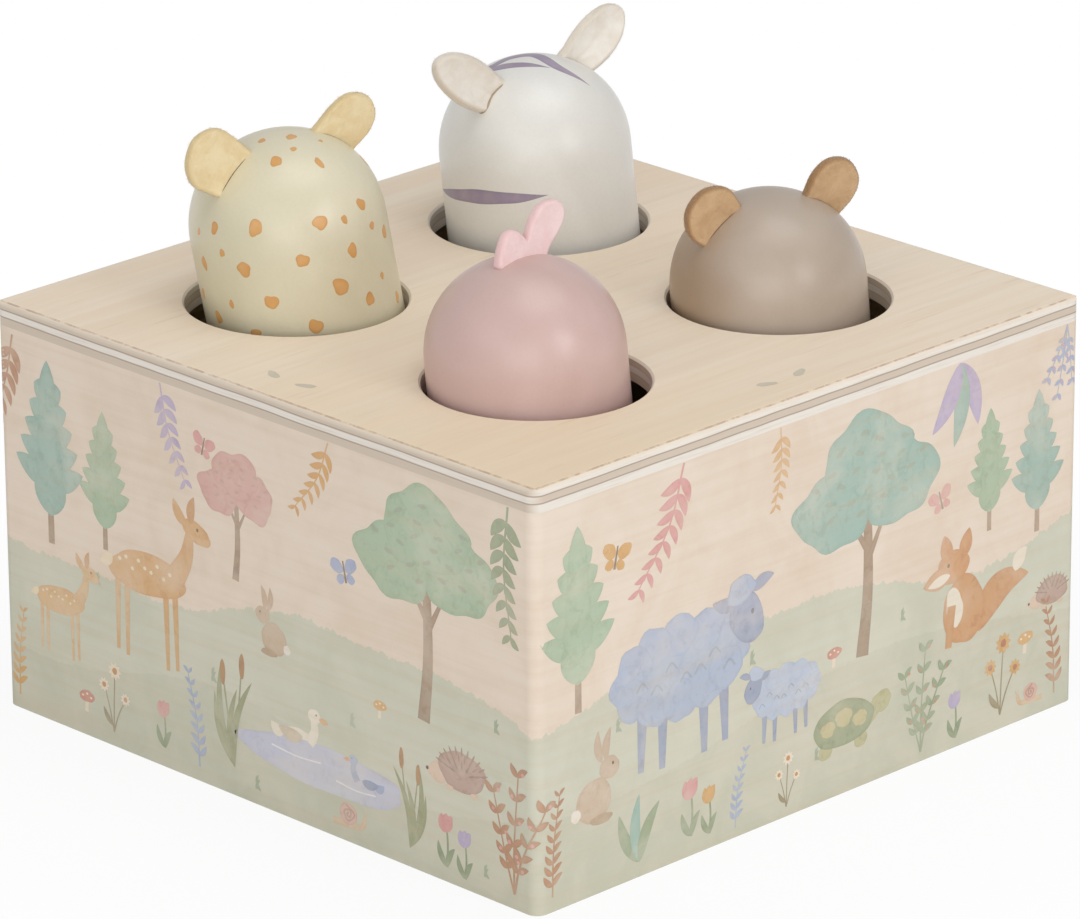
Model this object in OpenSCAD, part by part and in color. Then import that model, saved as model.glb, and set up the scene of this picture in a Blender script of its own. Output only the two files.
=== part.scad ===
// Pop up animal toy: a plywood box with four round holes, and in each hole a
// turned wooden peg that stands on a coil spring. A peg is pushed down along
// its own axis and pops back up. The pegs lean a little in their loose holes.
// Millimetres, +Z up. The origin is the centre of the underside.
// Seen from the front corner, -Y is the left face and +X the right face.

/* [Box] */
// Outside length of each side of the box
box_side = 150; // [130:1:190]
// Height of the box, with its top panel
box_h = 85; // [75:1:110]
// Thickness of the top panel, three plies
top_t = 4.8; // [3.6:0.1:6.5]
// Thickness of the four walls
wall_t = 6; // [4:0.1:9]
// Thickness of the base panel
base_t = 5; // [4:0.1:8]
// Radius of the upright corners, sanded round
corner_r = 2.5; // [1:0.1:4]
// Radius of the eased upper edge of the top panel
edge_r = 1.2; // [0.4:0.1:2]

/* [Holes] */
// Diameter of each hole in the top panel
hole_d = 44; // [42:0.1:50]
// Distance from one hole to the next, the same both ways
hole_pitch = 66.5; // [60:0.5:74]
// Chamfer round the upper edge of each hole
hole_ease = 0.4; // [0.2:0.1:1]

/* [Pegs] */
// Diameter of a peg above its collar
peg_d = 38.6; // [36:0.1:40]
// Height of the dome, from the straight side to its top
dome_h = 19.2; // [16:0.1:21]
// Fullness of the dome: 2 is an ellipse, more is squarer
dome_full = 2.15; // [2:0.05:2.6]
// Diameter of the collar that keeps a peg in the box
collar_d = 50; // [47:0.1:54]
// Thickness of the collar
collar_t = 5; // [4:0.1:7]
// Chamfer on the collar's edges
collar_ease = 0.8; // [0.4:0.1:1.5]
// Space between the collar and the underside of the top panel
stop_gap = 8.2; // [8:0.1:12]
// How far the leopard's head stands above the top panel
leopard_rise = 34.6; // [30:0.1:42]
// How far the zebra's head stands above the top panel
zebra_rise = 34.2; // [30:0.1:42]
// How far the bird's head stands above the top panel
bird_rise = 24.4; // [22:0.1:36]
// How far the bear's head stands above the top panel
bear_rise = 21.6; // [21:0.1:36]

/* [Lean] */
// Lean of the leopard towards +X and +Y, degrees
leopard_lean = [-5.1, -8.1]; // [-9:0.1:9]
// Lean of the zebra
zebra_lean = [-3.7, -3.7]; // [-9:0.1:9]
// Lean of the bird
bird_lean = [-4.4, -2.3]; // [-9:0.1:9]
// Lean of the bear
bear_lean = [-3.9, -2.2]; // [-9:0.1:9]
// Where the leopard stands in its hole, from the hole's centre
leopard_shift = [0.8, 0.8]; // [-1.4:0.1:1.4]
// Where the zebra stands in its hole
zebra_shift = [0.5, 0.5]; // [-1.4:0.1:1.4]
// Where the bird stands in its hole
bird_shift = [-1.1, -1.1]; // [-1.4:0.1:1.4]
// Where the bear stands in its hole
bear_shift = [-1.3, -1.3]; // [-1.4:0.1:1.4]

/* [Felt ears and crest] */
// Thickness of the felt
felt_t = 2; // [1.2:0.1:3]
// Clearance of the felt in its saw slot, each side
felt_gap = 0.1; // [0.05:0.05:0.3]
// Depth of a saw slot below the dome's surface
slot_depth = 4; // [3:0.1:6]
// Radius of the leopard's left and right ears
leopard_ear_r = [6.4, 5.3]; // [5:0.1:8]
// Radius of the bear's left and right ears
bear_ear_r = [6.2, 6.3]; // [5:0.1:8]
// Width of a round ear at its root
ear_root_w = 10.2; // [8:0.1:11]
// From the root to the centre of the leopard's left and right ears
leopard_ear_stand = [5.4, 5.1]; // [2:0.1:8]
// From the root to the centre of the bear's left and right ears
bear_ear_stand = [2.5, 3.6]; // [2:0.1:8]
// Angle of the leopard's left and right ear roots from the peg's axis
leopard_ear_angle = [36, 42]; // [30:1:60]
// Angle at which the leopard's left and right ears point
leopard_ear_splay = [44, 59]; // [30:1:72]
// Turn of the leopard's left and right ears about the peg's axis
leopard_ear_turn = [-1, -17]; // [-30:1:30]
// Twist of the leopard's left and right ears about their own length
leopard_ear_twist = [-7, 9]; // [-25:1:25]
// Angle of the bear's left and right ear roots from the peg's axis
bear_ear_angle = [36, 39]; // [30:1:60]
// Angle at which the bear's left and right ears point
bear_ear_splay = [41, 39]; // [30:1:72]
// Turn of the bear's left and right ears about the peg's axis
bear_ear_turn = [-5, -27]; // [-30:1:30]
// Twist of the bear's left and right ears about their own length
bear_ear_twist = [-9, 20]; // [-25:1:25]
// Length of the zebra's left and right ears above their roots
zebra_ear_len = [18, 15.5]; // [14:0.1:24]
// Widest part of a zebra ear
zebra_ear_w = 10.4; // [9:0.1:13]
// Width of a zebra ear at its root
zebra_root_w = 8; // [6:0.1:9]
// Radius of a zebra ear's tip
zebra_tip_r = 3; // [2:0.1:4]
// Angle of the zebra's left and right ear roots from the peg's axis
zebra_ear_angle = [38, 37]; // [28:1:46]
// Angle at which the zebra's left and right ears point
zebra_ear_splay = [53, 58]; // [46:1:72]
// Turn of the zebra's left and right ears about the peg's axis
zebra_ear_turn = [4, -8]; // [-30:1:30]
// Twist of the zebra's left and right ears about their own length
zebra_ear_twist = [-5, -8]; // [-25:1:25]
// Radius to which a zebra ear is cupped
zebra_cup_r = 13; // [9:0.5:30]
// Height of the bird's crest above its head
crest_h = 9; // [7:0.1:12]
// Length of the crest's foot in its slot
crest_root_w = 8; // [6:0.1:10]

/* [Springs] */
// Diameter of the spring wire
wire_d = 1.6; // [1.2:0.1:2]
// Mean diameter of a spring's curls
coil_d = 20; // [18:0.1:24]
// Curls in each spring
curls = 9; // [6:1:12]
// Radius of the bend that turns each wire end upright
end_bend_r = 2.4; // [2:0.1:3.5]
// Depth of the bore in a peg that takes the spring
seat_bore_h = 6; // [4:0.1:8]
// Clearance between a spring and the bore in its peg
seat_gap = 0.4; // [0.3:0.1:1]
// Clearance between a spring's curls and the post inside, which the lean takes up in part
post_gap = 1.2; // [1:0.1:2]
// Height of the wooden post inside each spring
post_h = 12; // [8:0.5:16]
// Diameter of a post's glued spigot
spigot_d = 8; // [6:0.5:10]
// Depth of the spigot in the base panel
spigot_h = 3; // [2:0.1:3.4]
// Clearance round a spigot, each side
spigot_gap = 0.05; // [0.02:0.01:0.1]

/* [Fasteners] */
// Side of a corner block
block_side = 18; // [15:0.5:24]
// Height of a corner block
block_h = 24; // [18:0.5:40]
// Diameter of a screw's shank
screw_d = 3.5; // [3:0.1:4.5]
// Diameter of a screw's head
screw_head_d = 7; // [6:0.1:9]
// Length of a screw
screw_len = 18; // [14:0.5:22]
// Clearance between a shank and the base panel
screw_gap = 0.3; // [0.2:0.1:0.5]
// How far a screw head lies below the underside
screw_sink = 0.3; // [0.1:0.1:0.6]
// Distance of a screw from both walls of its corner
screw_inset = 6; // [5:0.1:8]

/* [Hidden] */
$fn = 64;

wall_h = box_h - top_t;
inner = box_side - 2 * wall_t;
corner_sides = [[-1, -1], [1, -1], [1, 1], [-1, 1]];

// What sets one peg apart: its hole, its rise, its lean and its place in the hole.
LEOPARD = [[-1, -1], leopard_rise, leopard_lean, leopard_shift];
ZEBRA = [[-1, 1], zebra_rise, zebra_lean, zebra_shift];
BIRD = [[1, -1], bird_rise, bird_lean, bird_shift];
BEAR = [[1, 1], bear_rise, bear_lean, bear_shift];
LEFT = -1;
RIGHT = 1;

function hole_at(a) = [a[0][0] * hole_pitch / 2, a[0][1] * hole_pitch / 2, 0];
function rise(a) = a[1];
function lean(a) = a[2];
function shift(a) = a[3];
function unit(v) = v / norm(v);
// The peg's own axis, and the point where it passes the upper face of the box.
function peg_axis(a) = unit([tan(lean(a)[0]), tan(lean(a)[1]), 1]);
function peg_at(a) = hole_at(a) + [shift(a)[0], shift(a)[1], box_h];

peg_r = peg_d / 2;
collar_top = -(top_t + stop_gap);
peg_foot = collar_top - collar_t;
coil_r = coil_d / 2;
bore_r = coil_r + wire_d / 2 + seat_gap;
spring_top = peg_foot + seat_bore_h;
// The wire runs straight from ring to ring, so it comes nearer to its centre line
// between them, and the post keeps clear of that.
rings_per_curl = 8;
post_r = coil_r * cos(180 / rings_per_curl) - wire_d / 2 - post_gap;

module leopard_paint() color([0.86, 0.83, 0.70]) children();
module zebra_paint() color([0.86, 0.85, 0.81]) children();
module bird_paint() color([0.79, 0.66, 0.62]) children();
module bear_paint() color([0.66, 0.59, 0.52]) children();
module birch() color([0.87, 0.78, 0.66]) children();
module plain_wood() color([0.80, 0.68, 0.50]) children();
module steel() color([0.70, 0.71, 0.73]) children();

// ---- the box ----

module rounded_square(side, r) {
    square([side, side - 2 * r], center = true);
    square([side - 2 * r, side], center = true);
    for (c = corner_sides)
        translate(c * (side / 2 - r)) circle(r);
}

// Upright section of the top panel, its two upper edges eased.
module eased_section() {
    translate([-box_side / 2, wall_h]) square([box_side, top_t - edge_r]);
    translate([-box_side / 2 + edge_r, wall_h]) square([box_side - 2 * edge_r, top_t]);
    for (s = [-1, 1])
        translate([s * (box_side / 2 - edge_r), box_h - edge_r]) circle(edge_r);
}

module top_panel() {
    birch() difference() {
        intersection() {
            linear_extrude(box_h + 1) rounded_square(box_side, corner_r);
            rotate([90, 0, 0]) linear_extrude(box_side, center = true) eased_section();
            rotate([90, 0, 90]) linear_extrude(box_side, center = true) eased_section();
        }
        for (a = [LEOPARD, ZEBRA, BIRD, BEAR]) translate(hole_at(a)) {
            translate([0, 0, wall_h - 1]) cylinder(d = hole_d, h = top_t + 2);
            translate([0, 0, box_h - hole_ease])
                cylinder(d1 = hole_d, d2 = hole_d + 4 * hole_ease, h = 2 * hole_ease);
        }
    }
}

// The left and right walls run the full depth and carry the rounded corners.
module long_wall(side) {
    birch() linear_extrude(wall_h) intersection() {
        rounded_square(box_side, corner_r);
        translate([side * (box_side - wall_t) / 2, 0]) square([wall_t, box_side], center = true);
    }
}

// The front and back walls stand between them.
module short_wall(side) {
    birch() translate([-inner / 2, side * (box_side - wall_t) / 2 - wall_t / 2, 0])
        cube([inner, wall_t, wall_h]);
}

module at_screws() {
    for (c = corner_sides) translate(c * (inner / 2 - screw_inset)) children();
}

module base_panel() {
    head_h = (screw_head_d - screw_d) / 2;
    plain_wood() difference() {
        translate([-inner / 2, -inner / 2, 0]) cube([inner, inner, base_t]);
        for (a = [LEOPARD, ZEBRA, BIRD, BEAR]) translate(hole_at(a))
            translate([0, 0, base_t - spigot_h]) cylinder(d = spigot_d, h = spigot_h + 1);
        at_screws() {
            translate([0, 0, -1]) cylinder(d = screw_d + 2 * screw_gap, h = base_t + 2);
            translate([0, 0, -1]) cylinder(d = screw_head_d + 2 * screw_gap, h = 1 + screw_sink);
            translate([0, 0, screw_sink])
                cylinder(r1 = screw_head_d / 2 + screw_gap, r2 = screw_d / 2 + screw_gap, h = head_h);
        }
    }
}

// Three-cornered glue block in one corner, that the base panel is screwed to.
module corner_block(c) {
    cut = block_side / 3;
    plain_wood() difference() {
        translate([c[0] * inner / 2, c[1] * inner / 2, base_t])
            mirror([c[0] > 0 ? 1 : 0, 0, 0]) mirror([0, c[1] > 0 ? 1 : 0, 0])
                linear_extrude(block_h) polygon([[0, 0], [block_side, 0], [block_side, cut],
                                                 [cut, block_side], [0, block_side]]);
        at_screws() translate([0, 0, base_t - 1])
            cylinder(r = screw_d / 2 + spigot_gap, h = screw_len - base_t + screw_sink + 2);
    }
}

module base_screws() {
    head_h = (screw_head_d - screw_d) / 2;
    slot_w = screw_d / 4;
    steel() at_screws() translate([0, 0, screw_sink]) difference() {
        rotate_extrude() polygon([[0, 0], [screw_head_d / 2, 0], [screw_d / 2, head_h],
                                  [screw_d / 2, screw_len - screw_d], [0, screw_len]]);
        for (turn = [0, 90]) rotate(turn)
            cube([screw_d, slot_w, 2 * slot_w], center = true);
    }
}

module spring_post(a) {
    edge = 1;
    plain_wood() translate(hole_at(a) + [0, 0, base_t]) rotate_extrude()
        polygon([[0, -spigot_h], [spigot_d / 2 - spigot_gap, -spigot_h],
                 [spigot_d / 2 - spigot_gap, 0], [post_r, 0], [post_r, post_h - edge],
                 [post_r - edge, post_h], [0, post_h]]);
}

// ---- the springs ----

// A spring's centre line is an S: it leaves the base upright and reaches the
// bore of the leaning peg along the peg's axis. It is a cubic in u, 0 to 1.
function line_start(a) = hole_at(a) + [0, 0, base_t];
function line_end(a) = peg_at(a) + spring_top * peg_axis(a);
function line_len(a) = norm(line_end(a) - line_start(a));
function line_at(a, u) =
    let (p = line_start(a), q = line_end(a), m = line_len(a) * [0, 0, 1], n = line_len(a) * peg_axis(a))
    (2 * u * u * u - 3 * u * u + 1) * p + (u * u * u - 2 * u * u + u) * m
    + (3 * u * u - 2 * u * u * u) * q + (u * u * u - u * u) * n;
function line_way(a, u) =
    let (p = line_start(a), q = line_end(a), m = line_len(a) * [0, 0, 1], n = line_len(a) * peg_axis(a))
    unit(6 * (u * u - u) * (p - q) + (3 * u * u - 4 * u + 1) * m + (3 * u * u - 2 * u) * n);

// Turn about the centre line and height along it, for each ring of the wire:
// a straight end, a bend, the curls, and the same again at the top.
wire_sides = 6;
bend_steps = 3;
bend_angle = 82;
function bend(k) =
    let (t = bend_angle * k / bend_steps)
    [end_bend_r * (1 - cos(t)) / coil_r * 180 / PI, wire_d + end_bend_r * sin(t)];
function wire_route(len) =
    let (full = 360 * curls, b = bend(bend_steps), n = curls * rings_per_curl)
    concat([[0, 0]], [for (k = [0:bend_steps]) bend(k)],
           [for (i = [1:n - 1]) [b[0] + (full - 2 * b[0]) * i / n, b[1] + (len - 2 * b[1]) * i / n]],
           [for (k = [bend_steps:-1:0]) [full - bend(k)[0], len - bend(k)[1]]],
           [[full, len]]);
// Sideways direction at a turn, square to the centre line.
function out_way(a, turn, u) =
    let (w = line_way(a, u), x = unit([1, 0, 0] - w[0] * w))
    cos(turn) * x + sin(turn) * cross(w, x);
function wire_points(a) =
    let (len = line_len(a))
    [for (s = wire_route(len)) line_at(a, s[1] / len) + coil_r * out_way(a, s[0], s[1] / len)];
function wire_outs(a) =
    let (len = line_len(a)) [for (s = wire_route(len)) out_way(a, s[0], s[1] / len)];
// Least distance between two stretches of the wire that aren't neighbours.
function least_gap(p) =
    min([for (i = [0:len(p) - 1]) for (j = [i + rings_per_curl - 2:1:len(p) - 1]) norm(p[i] - p[j])])
    - wire_d;

module wire_tube(pts, outs, r) {
    n = len(pts);
    last = n - 1;
    ways = [for (i = [0:last]) i <= 1 ? unit(pts[1] - pts[0])
            : i >= last - 1 ? unit(pts[last] - pts[last - 1])
            : unit(pts[i + 1] - pts[i - 1])];
    rings = [for (i = [0:last])
             let (x = unit(outs[i] - (outs[i] * ways[i]) * ways[i]), y = cross(ways[i], x))
             for (k = [0:wire_sides - 1])
                 let (t = 360 * k / wire_sides) pts[i] + r * (cos(t) * x + sin(t) * y)];
    sides = [for (i = [0:last - 1]) for (k = [0:wire_sides - 1])
             let (a = i * wire_sides + k, b = i * wire_sides + (k + 1) % wire_sides)
             each [[a, a + wire_sides, b], [b, a + wire_sides, b + wire_sides]]];
    caps = [for (k = [1:wire_sides - 2])
            each [[0, k, k + 1],
                  [last * wire_sides, last * wire_sides + k + 1, last * wire_sides + k]]];
    polyhedron(rings, concat(sides, caps));
}

module spring(a) {
    pts = wire_points(a);
    echo(least_gap_of_spring = least_gap(pts));
    steel() wire_tube(pts, wire_outs(a), wire_d / 2);
}

// ---- the pegs ----

// Puts its children in a peg's own frame: z along the peg's axis, 0 at the
// upper face of the box.
module at_peg(a) {
    l = peg_axis(a);
    translate(peg_at(a)) rotate(a = acos(l[2]), v = [-l[1], l[0], 0]) children();
}

// Distance from the dome's centre to its surface, at an angle from the axis.
function dome_reach(angle, lo = 0.5 * peg_r, hi = 2 * peg_r, steps = 24) =
    let (m = (lo + hi) / 2,
         past = pow(m * sin(angle) / peg_r, 2) + pow(m * cos(angle) / dome_h, dome_full) > 1)
    steps == 0 ? m : past ? dome_reach(angle, lo, m, steps - 1) : dome_reach(angle, m, hi, steps - 1);

// Half outline of the dome over its own centre, grown by a clearance.
dome_steps = 20;
function dome_outline(grow = 0) =
    [for (i = [0:dome_steps])
     let (t = 90 * i / dome_steps, r = dome_reach(90 - t) + grow) [r * cos(t), r * sin(t)]];

module peg_body(a) {
    centre = rise(a) - dome_h;
    difference() {
        rotate_extrude() polygon(concat(
            [[0, peg_foot], [collar_d / 2 - collar_ease, peg_foot],
             [collar_d / 2, peg_foot + collar_ease], [collar_d / 2, collar_top - collar_ease],
             [collar_d / 2 - collar_ease, collar_top], [peg_r, collar_top]],
            [for (p = dome_outline()) [p[0], p[1] + centre]]));
        translate([0, 0, peg_foot - 1]) cylinder(r = bore_r, h = seat_bore_h + 1);
    }
}

// How the ear on one side sits: the angle of its root and the one at which it
// points, both from the peg's axis, its turn about that axis, and its twist
// about its own length.
function of_side(pair, side) = pair[(side + 1) / 2];
function leopard_pose(s) = [of_side(leopard_ear_angle, s), of_side(leopard_ear_splay, s),
                            of_side(leopard_ear_turn, s), of_side(leopard_ear_twist, s)];
function bear_pose(s) = [of_side(bear_ear_angle, s), of_side(bear_ear_splay, s),
                         of_side(bear_ear_turn, s), of_side(bear_ear_twist, s)];
function zebra_pose(s) = [of_side(zebra_ear_angle, s), of_side(zebra_ear_splay, s),
                          of_side(zebra_ear_turn, s), of_side(zebra_ear_twist, s)];

// Puts its children at an ear's root: z along the ear, y across it and x
// through the felt.
module at_ear(a, side, pose) {
    at_peg(a) translate([0, 0, rise(a) - dome_h]) rotate([0, 0, pose[2]])
        rotate([-side * pose[0], 0, 0]) translate([0, 0, dome_reach(pose[0])])
            rotate([-side * (pose[1] - pose[0]), 0, 0]) rotate([0, 0, pose[3]]) children();
}

// Saw slot for a root of width w.
module ear_slot(w) {
    gap = 2 * felt_gap;
    translate([-felt_t / 2 - felt_gap, -w / 2 - felt_gap, -slot_depth - felt_gap])
        cube([felt_t + gap, w + gap, slot_depth + peg_r / 2]);
}

module peg_leopard() {
    leopard_paint() difference() {
        at_peg(LEOPARD) peg_body(LEOPARD);
        for (s = [LEFT, RIGHT]) at_ear(LEOPARD, s, leopard_pose(s))
            round_ear(of_side(leopard_ear_r, s), of_side(leopard_ear_stand, s), felt_gap);
    }
}

module peg_zebra() {
    zebra_paint() difference() {
        at_peg(ZEBRA) peg_body(ZEBRA);
        for (s = [LEFT, RIGHT]) at_ear(ZEBRA, s, zebra_pose(s)) zebra_slot();
    }
}

module peg_bird() {
    bird_paint() difference() {
        at_peg(BIRD) peg_body(BIRD);
        at_ear(BIRD, RIGHT, [0, 0, 0, 0]) ear_slot(crest_root_w);
    }
}

module peg_bear() {
    bear_paint() difference() {
        at_peg(BEAR) peg_body(BEAR);
        for (s = [LEFT, RIGHT]) at_ear(BEAR, s, bear_pose(s))
            round_ear(of_side(bear_ear_r, s), of_side(bear_ear_stand, s), felt_gap);
    }
}

// ---- felt ears and crest ----

// Stands a flat outline up: its x runs across the ear and its y along it.
module felt(t = felt_t) {
    rotate([90, 0, 90]) linear_extrude(t, center = true) children();
}

// A round ear. Grown by the felt's clearance, it is also the slot that it fits.
module round_ear(r, stand, grow = 0) {
    w = ear_root_w + 2 * grow;
    felt(felt_t + 2 * grow) union() {
        translate([-w / 2, -slot_depth - grow]) square([w, slot_depth + grow + stand]);
        translate([0, stand]) circle(r + grow);
    }
}

// Leaf outline of a zebra ear. Its root stays straight until it is clear of the
// head, which slopes up beside a splayed ear.
module leaf(len) {
    wide_at = len * 0.42;
    root_h = zebra_root_w * 0.3;
    hull() {
        translate([-zebra_root_w / 2, root_h]) square([zebra_root_w, felt_t / 4]);
        translate([0, wide_at]) circle(d = zebra_ear_w, $fn = 32);
        translate([0, len - zebra_tip_r]) circle(zebra_tip_r, $fn = 32);
    }
    translate([-zebra_root_w / 2, -slot_depth])
        square([zebra_root_w, slot_depth + root_h + felt_t / 4]);
}

// Cupped shell that the zebra ears are cut from, hollow towards +X.
module cup(len, grow = 0) {
    translate([zebra_cup_r, 0, -slot_depth - 1 - grow]) difference() {
        cylinder(r = zebra_cup_r + felt_t / 2 + grow, h = len + slot_depth + 2);
        translate([0, 0, -1])
            cylinder(r = zebra_cup_r - felt_t / 2 - grow, h = len + slot_depth + 4);
    }
}

module zebra_ear_solid(len) {
    intersection() {
        cup(len);
        felt(2 * felt_t + zebra_ear_w) leaf(len);
    }
}

// Curved slot that the cupped root fits.
module zebra_slot() {
    w = zebra_root_w + 2 * felt_gap;
    intersection() {
        cup(zebra_ear_len[0], felt_gap);
        translate([-felt_t, -w / 2, -slot_depth - felt_gap])
            cube([2 * felt_t + zebra_root_w, w, slot_depth + peg_r / 2]);
    }
}

module leopard_ear(side) {
    color([0.91, 0.82, 0.63]) at_ear(LEOPARD, side, leopard_pose(side))
        round_ear(of_side(leopard_ear_r, side), of_side(leopard_ear_stand, side));
}

module zebra_ear(side) {
    color([0.90, 0.86, 0.79]) at_ear(ZEBRA, side, zebra_pose(side))
        zebra_ear_solid(of_side(zebra_ear_len, side));
}

module bear_ear(side) {
    color([0.76, 0.62, 0.44]) at_ear(BEAR, side, bear_pose(side))
        round_ear(of_side(bear_ear_r, side), of_side(bear_ear_stand, side));
}

// Two lobes on one foot, over the top of the head. y is 0 at the dome's top.
module crest_outline() {
    k = crest_h / 9;
    difference() {
        union() {
            hull() {
                translate([7.2, 5.9] * k) circle(2.8 * k, $fn = 32);
                translate([10.1, 6] * k) circle(2.7 * k, $fn = 32);
                translate([4.4, 2.2] * k) circle(2 * k, $fn = 32);
                translate([6, 0] * k) circle(1.8 * k, $fn = 32);
            }
            hull() {
                translate([-1.9, 4] * k) circle(1.8 * k, $fn = 32);
                translate([-4.5, -0.2] * k) circle(k, $fn = 32);
                translate([1.2, 1.6] * k) circle(1.8 * k, $fn = 32);
            }
        }
        translate([0, -dome_h]) for (s = [0, 1]) mirror([s, 0])
            polygon(concat([[0, 0]], dome_outline(felt_gap)));
    }
    translate([-crest_root_w / 2, -slot_depth]) square([crest_root_w, slot_depth + felt_gap * 4]);
}

module bird_crest() {
    color([0.90, 0.73, 0.72]) at_ear(BIRD, RIGHT, [0, 0, 0, 0]) felt() crest_outline();
}

top_panel();
long_wall(-1);  // wall_left
long_wall(1);  // wall_right
short_wall(-1);  // wall_front
short_wall(1);  // wall_back
base_panel();
corner_block([-1, -1]);  // corner_block_front_left
corner_block([1, -1]);  // corner_block_front_right
corner_block([1, 1]);  // corner_block_back_right
corner_block([-1, 1]);  // corner_block_back_left
base_screws();
spring_post(LEOPARD);  // spring_post_leopard
spring_post(ZEBRA);  // spring_post_zebra
spring_post(BIRD);  // spring_post_bird
spring_post(BEAR);  // spring_post_bear
spring(LEOPARD);  // spring_leopard
spring(ZEBRA);  // spring_zebra
spring(BIRD);  // spring_bird
spring(BEAR);  // spring_bear
peg_leopard();
peg_zebra();
peg_bird();
peg_bear();
leopard_ear(LEFT);  // leopard_ear_left
leopard_ear(RIGHT);  // leopard_ear_right
zebra_ear(LEFT);  // zebra_ear_left
zebra_ear(RIGHT);  // zebra_ear_right
bear_ear(LEFT);  // bear_ear_left
bear_ear(RIGHT);  // bear_ear_right
bird_crest();
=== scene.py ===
# %% [markdown]
# # A pop-up toy with four animal pegs
#
# The toy is a small plywood box. Four turned, painted pegs stand on coil springs
# in four round holes, and each can be pushed down and pops back up. The pegs are
# a leopard with spots, a zebra with stripes, a bird with a crest and a bear.
#
# The construction comes ready from the CAD model, which we load as our frame.
# Here we give every surface its finish, and we make the pieces anew that need
# finer shapes than a CAD solid has: the turned pegs, the felt ears and the
# spring wire. We work in millimetres, as on the maker's drawing, and only turn
# them into Blender's metres when a mesh is made.

# %% Load the frame
import math
from functools import cached_property

import bpy
import numpy as np
from mathutils import Matrix


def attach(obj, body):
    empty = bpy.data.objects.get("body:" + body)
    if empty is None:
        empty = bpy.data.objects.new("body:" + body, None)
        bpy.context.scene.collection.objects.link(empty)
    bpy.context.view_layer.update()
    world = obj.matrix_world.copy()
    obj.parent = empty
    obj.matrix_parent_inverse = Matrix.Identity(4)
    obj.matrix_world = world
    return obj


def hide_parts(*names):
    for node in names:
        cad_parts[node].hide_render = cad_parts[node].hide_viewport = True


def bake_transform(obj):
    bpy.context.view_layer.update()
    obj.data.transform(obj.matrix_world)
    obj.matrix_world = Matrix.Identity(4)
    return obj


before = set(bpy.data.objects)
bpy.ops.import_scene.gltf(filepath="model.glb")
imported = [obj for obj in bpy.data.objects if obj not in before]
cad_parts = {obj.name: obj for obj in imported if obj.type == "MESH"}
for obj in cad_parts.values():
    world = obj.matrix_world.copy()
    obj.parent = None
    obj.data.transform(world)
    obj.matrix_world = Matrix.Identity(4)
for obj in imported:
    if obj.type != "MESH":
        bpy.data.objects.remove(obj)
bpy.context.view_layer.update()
MM = 0.001

# %% [markdown]
# ## Sizes from the drawing
#
# These are the sizes that the CAD model was built with. The visual pieces repeat
# them, so that they sit exactly where the CAD pieces are. A peg has its own
# frame: its origin lies where its axis passes the upper face of the box, and z
# runs up along the axis, which leans a few degrees because the hole is loose.

# %% Box and peg sizes
# Heights and depths of a peg are in its own frame. FULL is the power in the
# dome's curve, END_BEND the radius in which the wire turns up at its ends.
SIDE, HEIGHT, TOP_T, BASE_T = 150.0, 85.0, 4.8, 5.0
PITCH, CORNER_R = 66.5, 2.5
PEG_R, DOME_H, FULL = 19.3, 19.2, 2.15
COLLAR_R, COLLAR_TOP, PEG_FOOT = 25.0, -13.0, -18.0
BORE_R, BORE_TOP = 11.2, -12.0
FELT_T, SLOT_DEPTH = 2.0, 4.0
WIRE_R, COIL_R, CURLS, END_BEND = 0.8, 10.0, 9, 2.4

# hole (x, y), rise of the dome over the box, lean towards x and y, place in the hole
PEGS = {
    "leopard": ((-1, -1), 34.6, (-5.1, -8.1), (0.8, 0.8)),
    "zebra": ((-1, 1), 34.2, (-3.7, -3.7), (0.5, 0.5)),
    "bird": ((1, -1), 24.4, (-4.4, -2.3), (-1.1, -1.1)),
    "bear": ((1, 1), 21.6, (-3.9, -2.2), (-1.3, -1.3)),
}
LEFT, RIGHT = -1, 1


def unit(v):
    """v divided by its own length, for one vector or rows of them."""
    v = np.asarray(v, float)
    return v / np.linalg.norm(v, axis=-1, keepdims=True)


def cos_sin(degrees):
    """Cosine and sine of an angle in degrees."""
    return math.cos(math.radians(degrees)), math.sin(math.radians(degrees))


def once_round(count):
    """Even angles once round, as many as count."""
    return np.linspace(0, 2 * np.pi, count, endpoint=False)


def peg_frame(animal):
    """Turn and origin of a peg's own frame. The turn is the smallest one that
    takes upright to the axis: I + K + K K / (1 + cos), with K the cross
    product with upright x axis."""
    hole, _, lean, shift = PEGS[animal]
    way = unit([*np.tan(np.radians(lean)), 1.0])
    v = np.cross([0, 0, 1], way)
    k = np.array([[0, -v[2], v[1]], [v[2], 0, -v[0]], [-v[1], v[0], 0]])
    turn = np.eye(3) + k + k @ k / (1 + way[2])
    return turn, np.append(np.multiply(hole, PITCH / 2) + shift, HEIGHT)


def place(animal, points):
    """Points from a peg's own frame into the toy's frame."""
    turn, origin = peg_frame(animal)
    return np.asarray(points) @ turn.T + origin


def placed(animal, body):
    """A skin, as made below, with its points placed so."""
    return {**body, "points": place(animal, body["points"])}


def dome_centre(animal):
    """The middle of the dome's lower edge, in the peg's own frame."""
    return np.array([0, 0, PEGS[animal][1] - DOME_H])


for name in PEGS:
    print(name, "axis", np.round(peg_frame(name)[0][:, 2], 3))

# %% [markdown]
# ## Camera
#
# The photograph was taken from well above the front corner with a long lens,
# which is why the box's edges stay nearly parallel. The camera looks back along
# a direction given by its compass angle and its height, and is rolled by a third
# of a degree.

# %% Camera at the photograph's place
SENSOR, FOCAL_PIXELS, PHOTO_PIXELS = 36.0, 7470, 1080


def stand(thing, back, side, spot):
    """Stands a camera or a lamp on a spot, in metres. It looks against back and
    has side to its right."""
    spin = np.eye(4)
    spin[:3, :3] = np.stack([side, np.cross(back, side), back], 1)
    spin[:3, 3] = spot
    thing.matrix_world = Matrix(spin.tolist())
    bpy.context.scene.collection.objects.link(thing)


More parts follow.
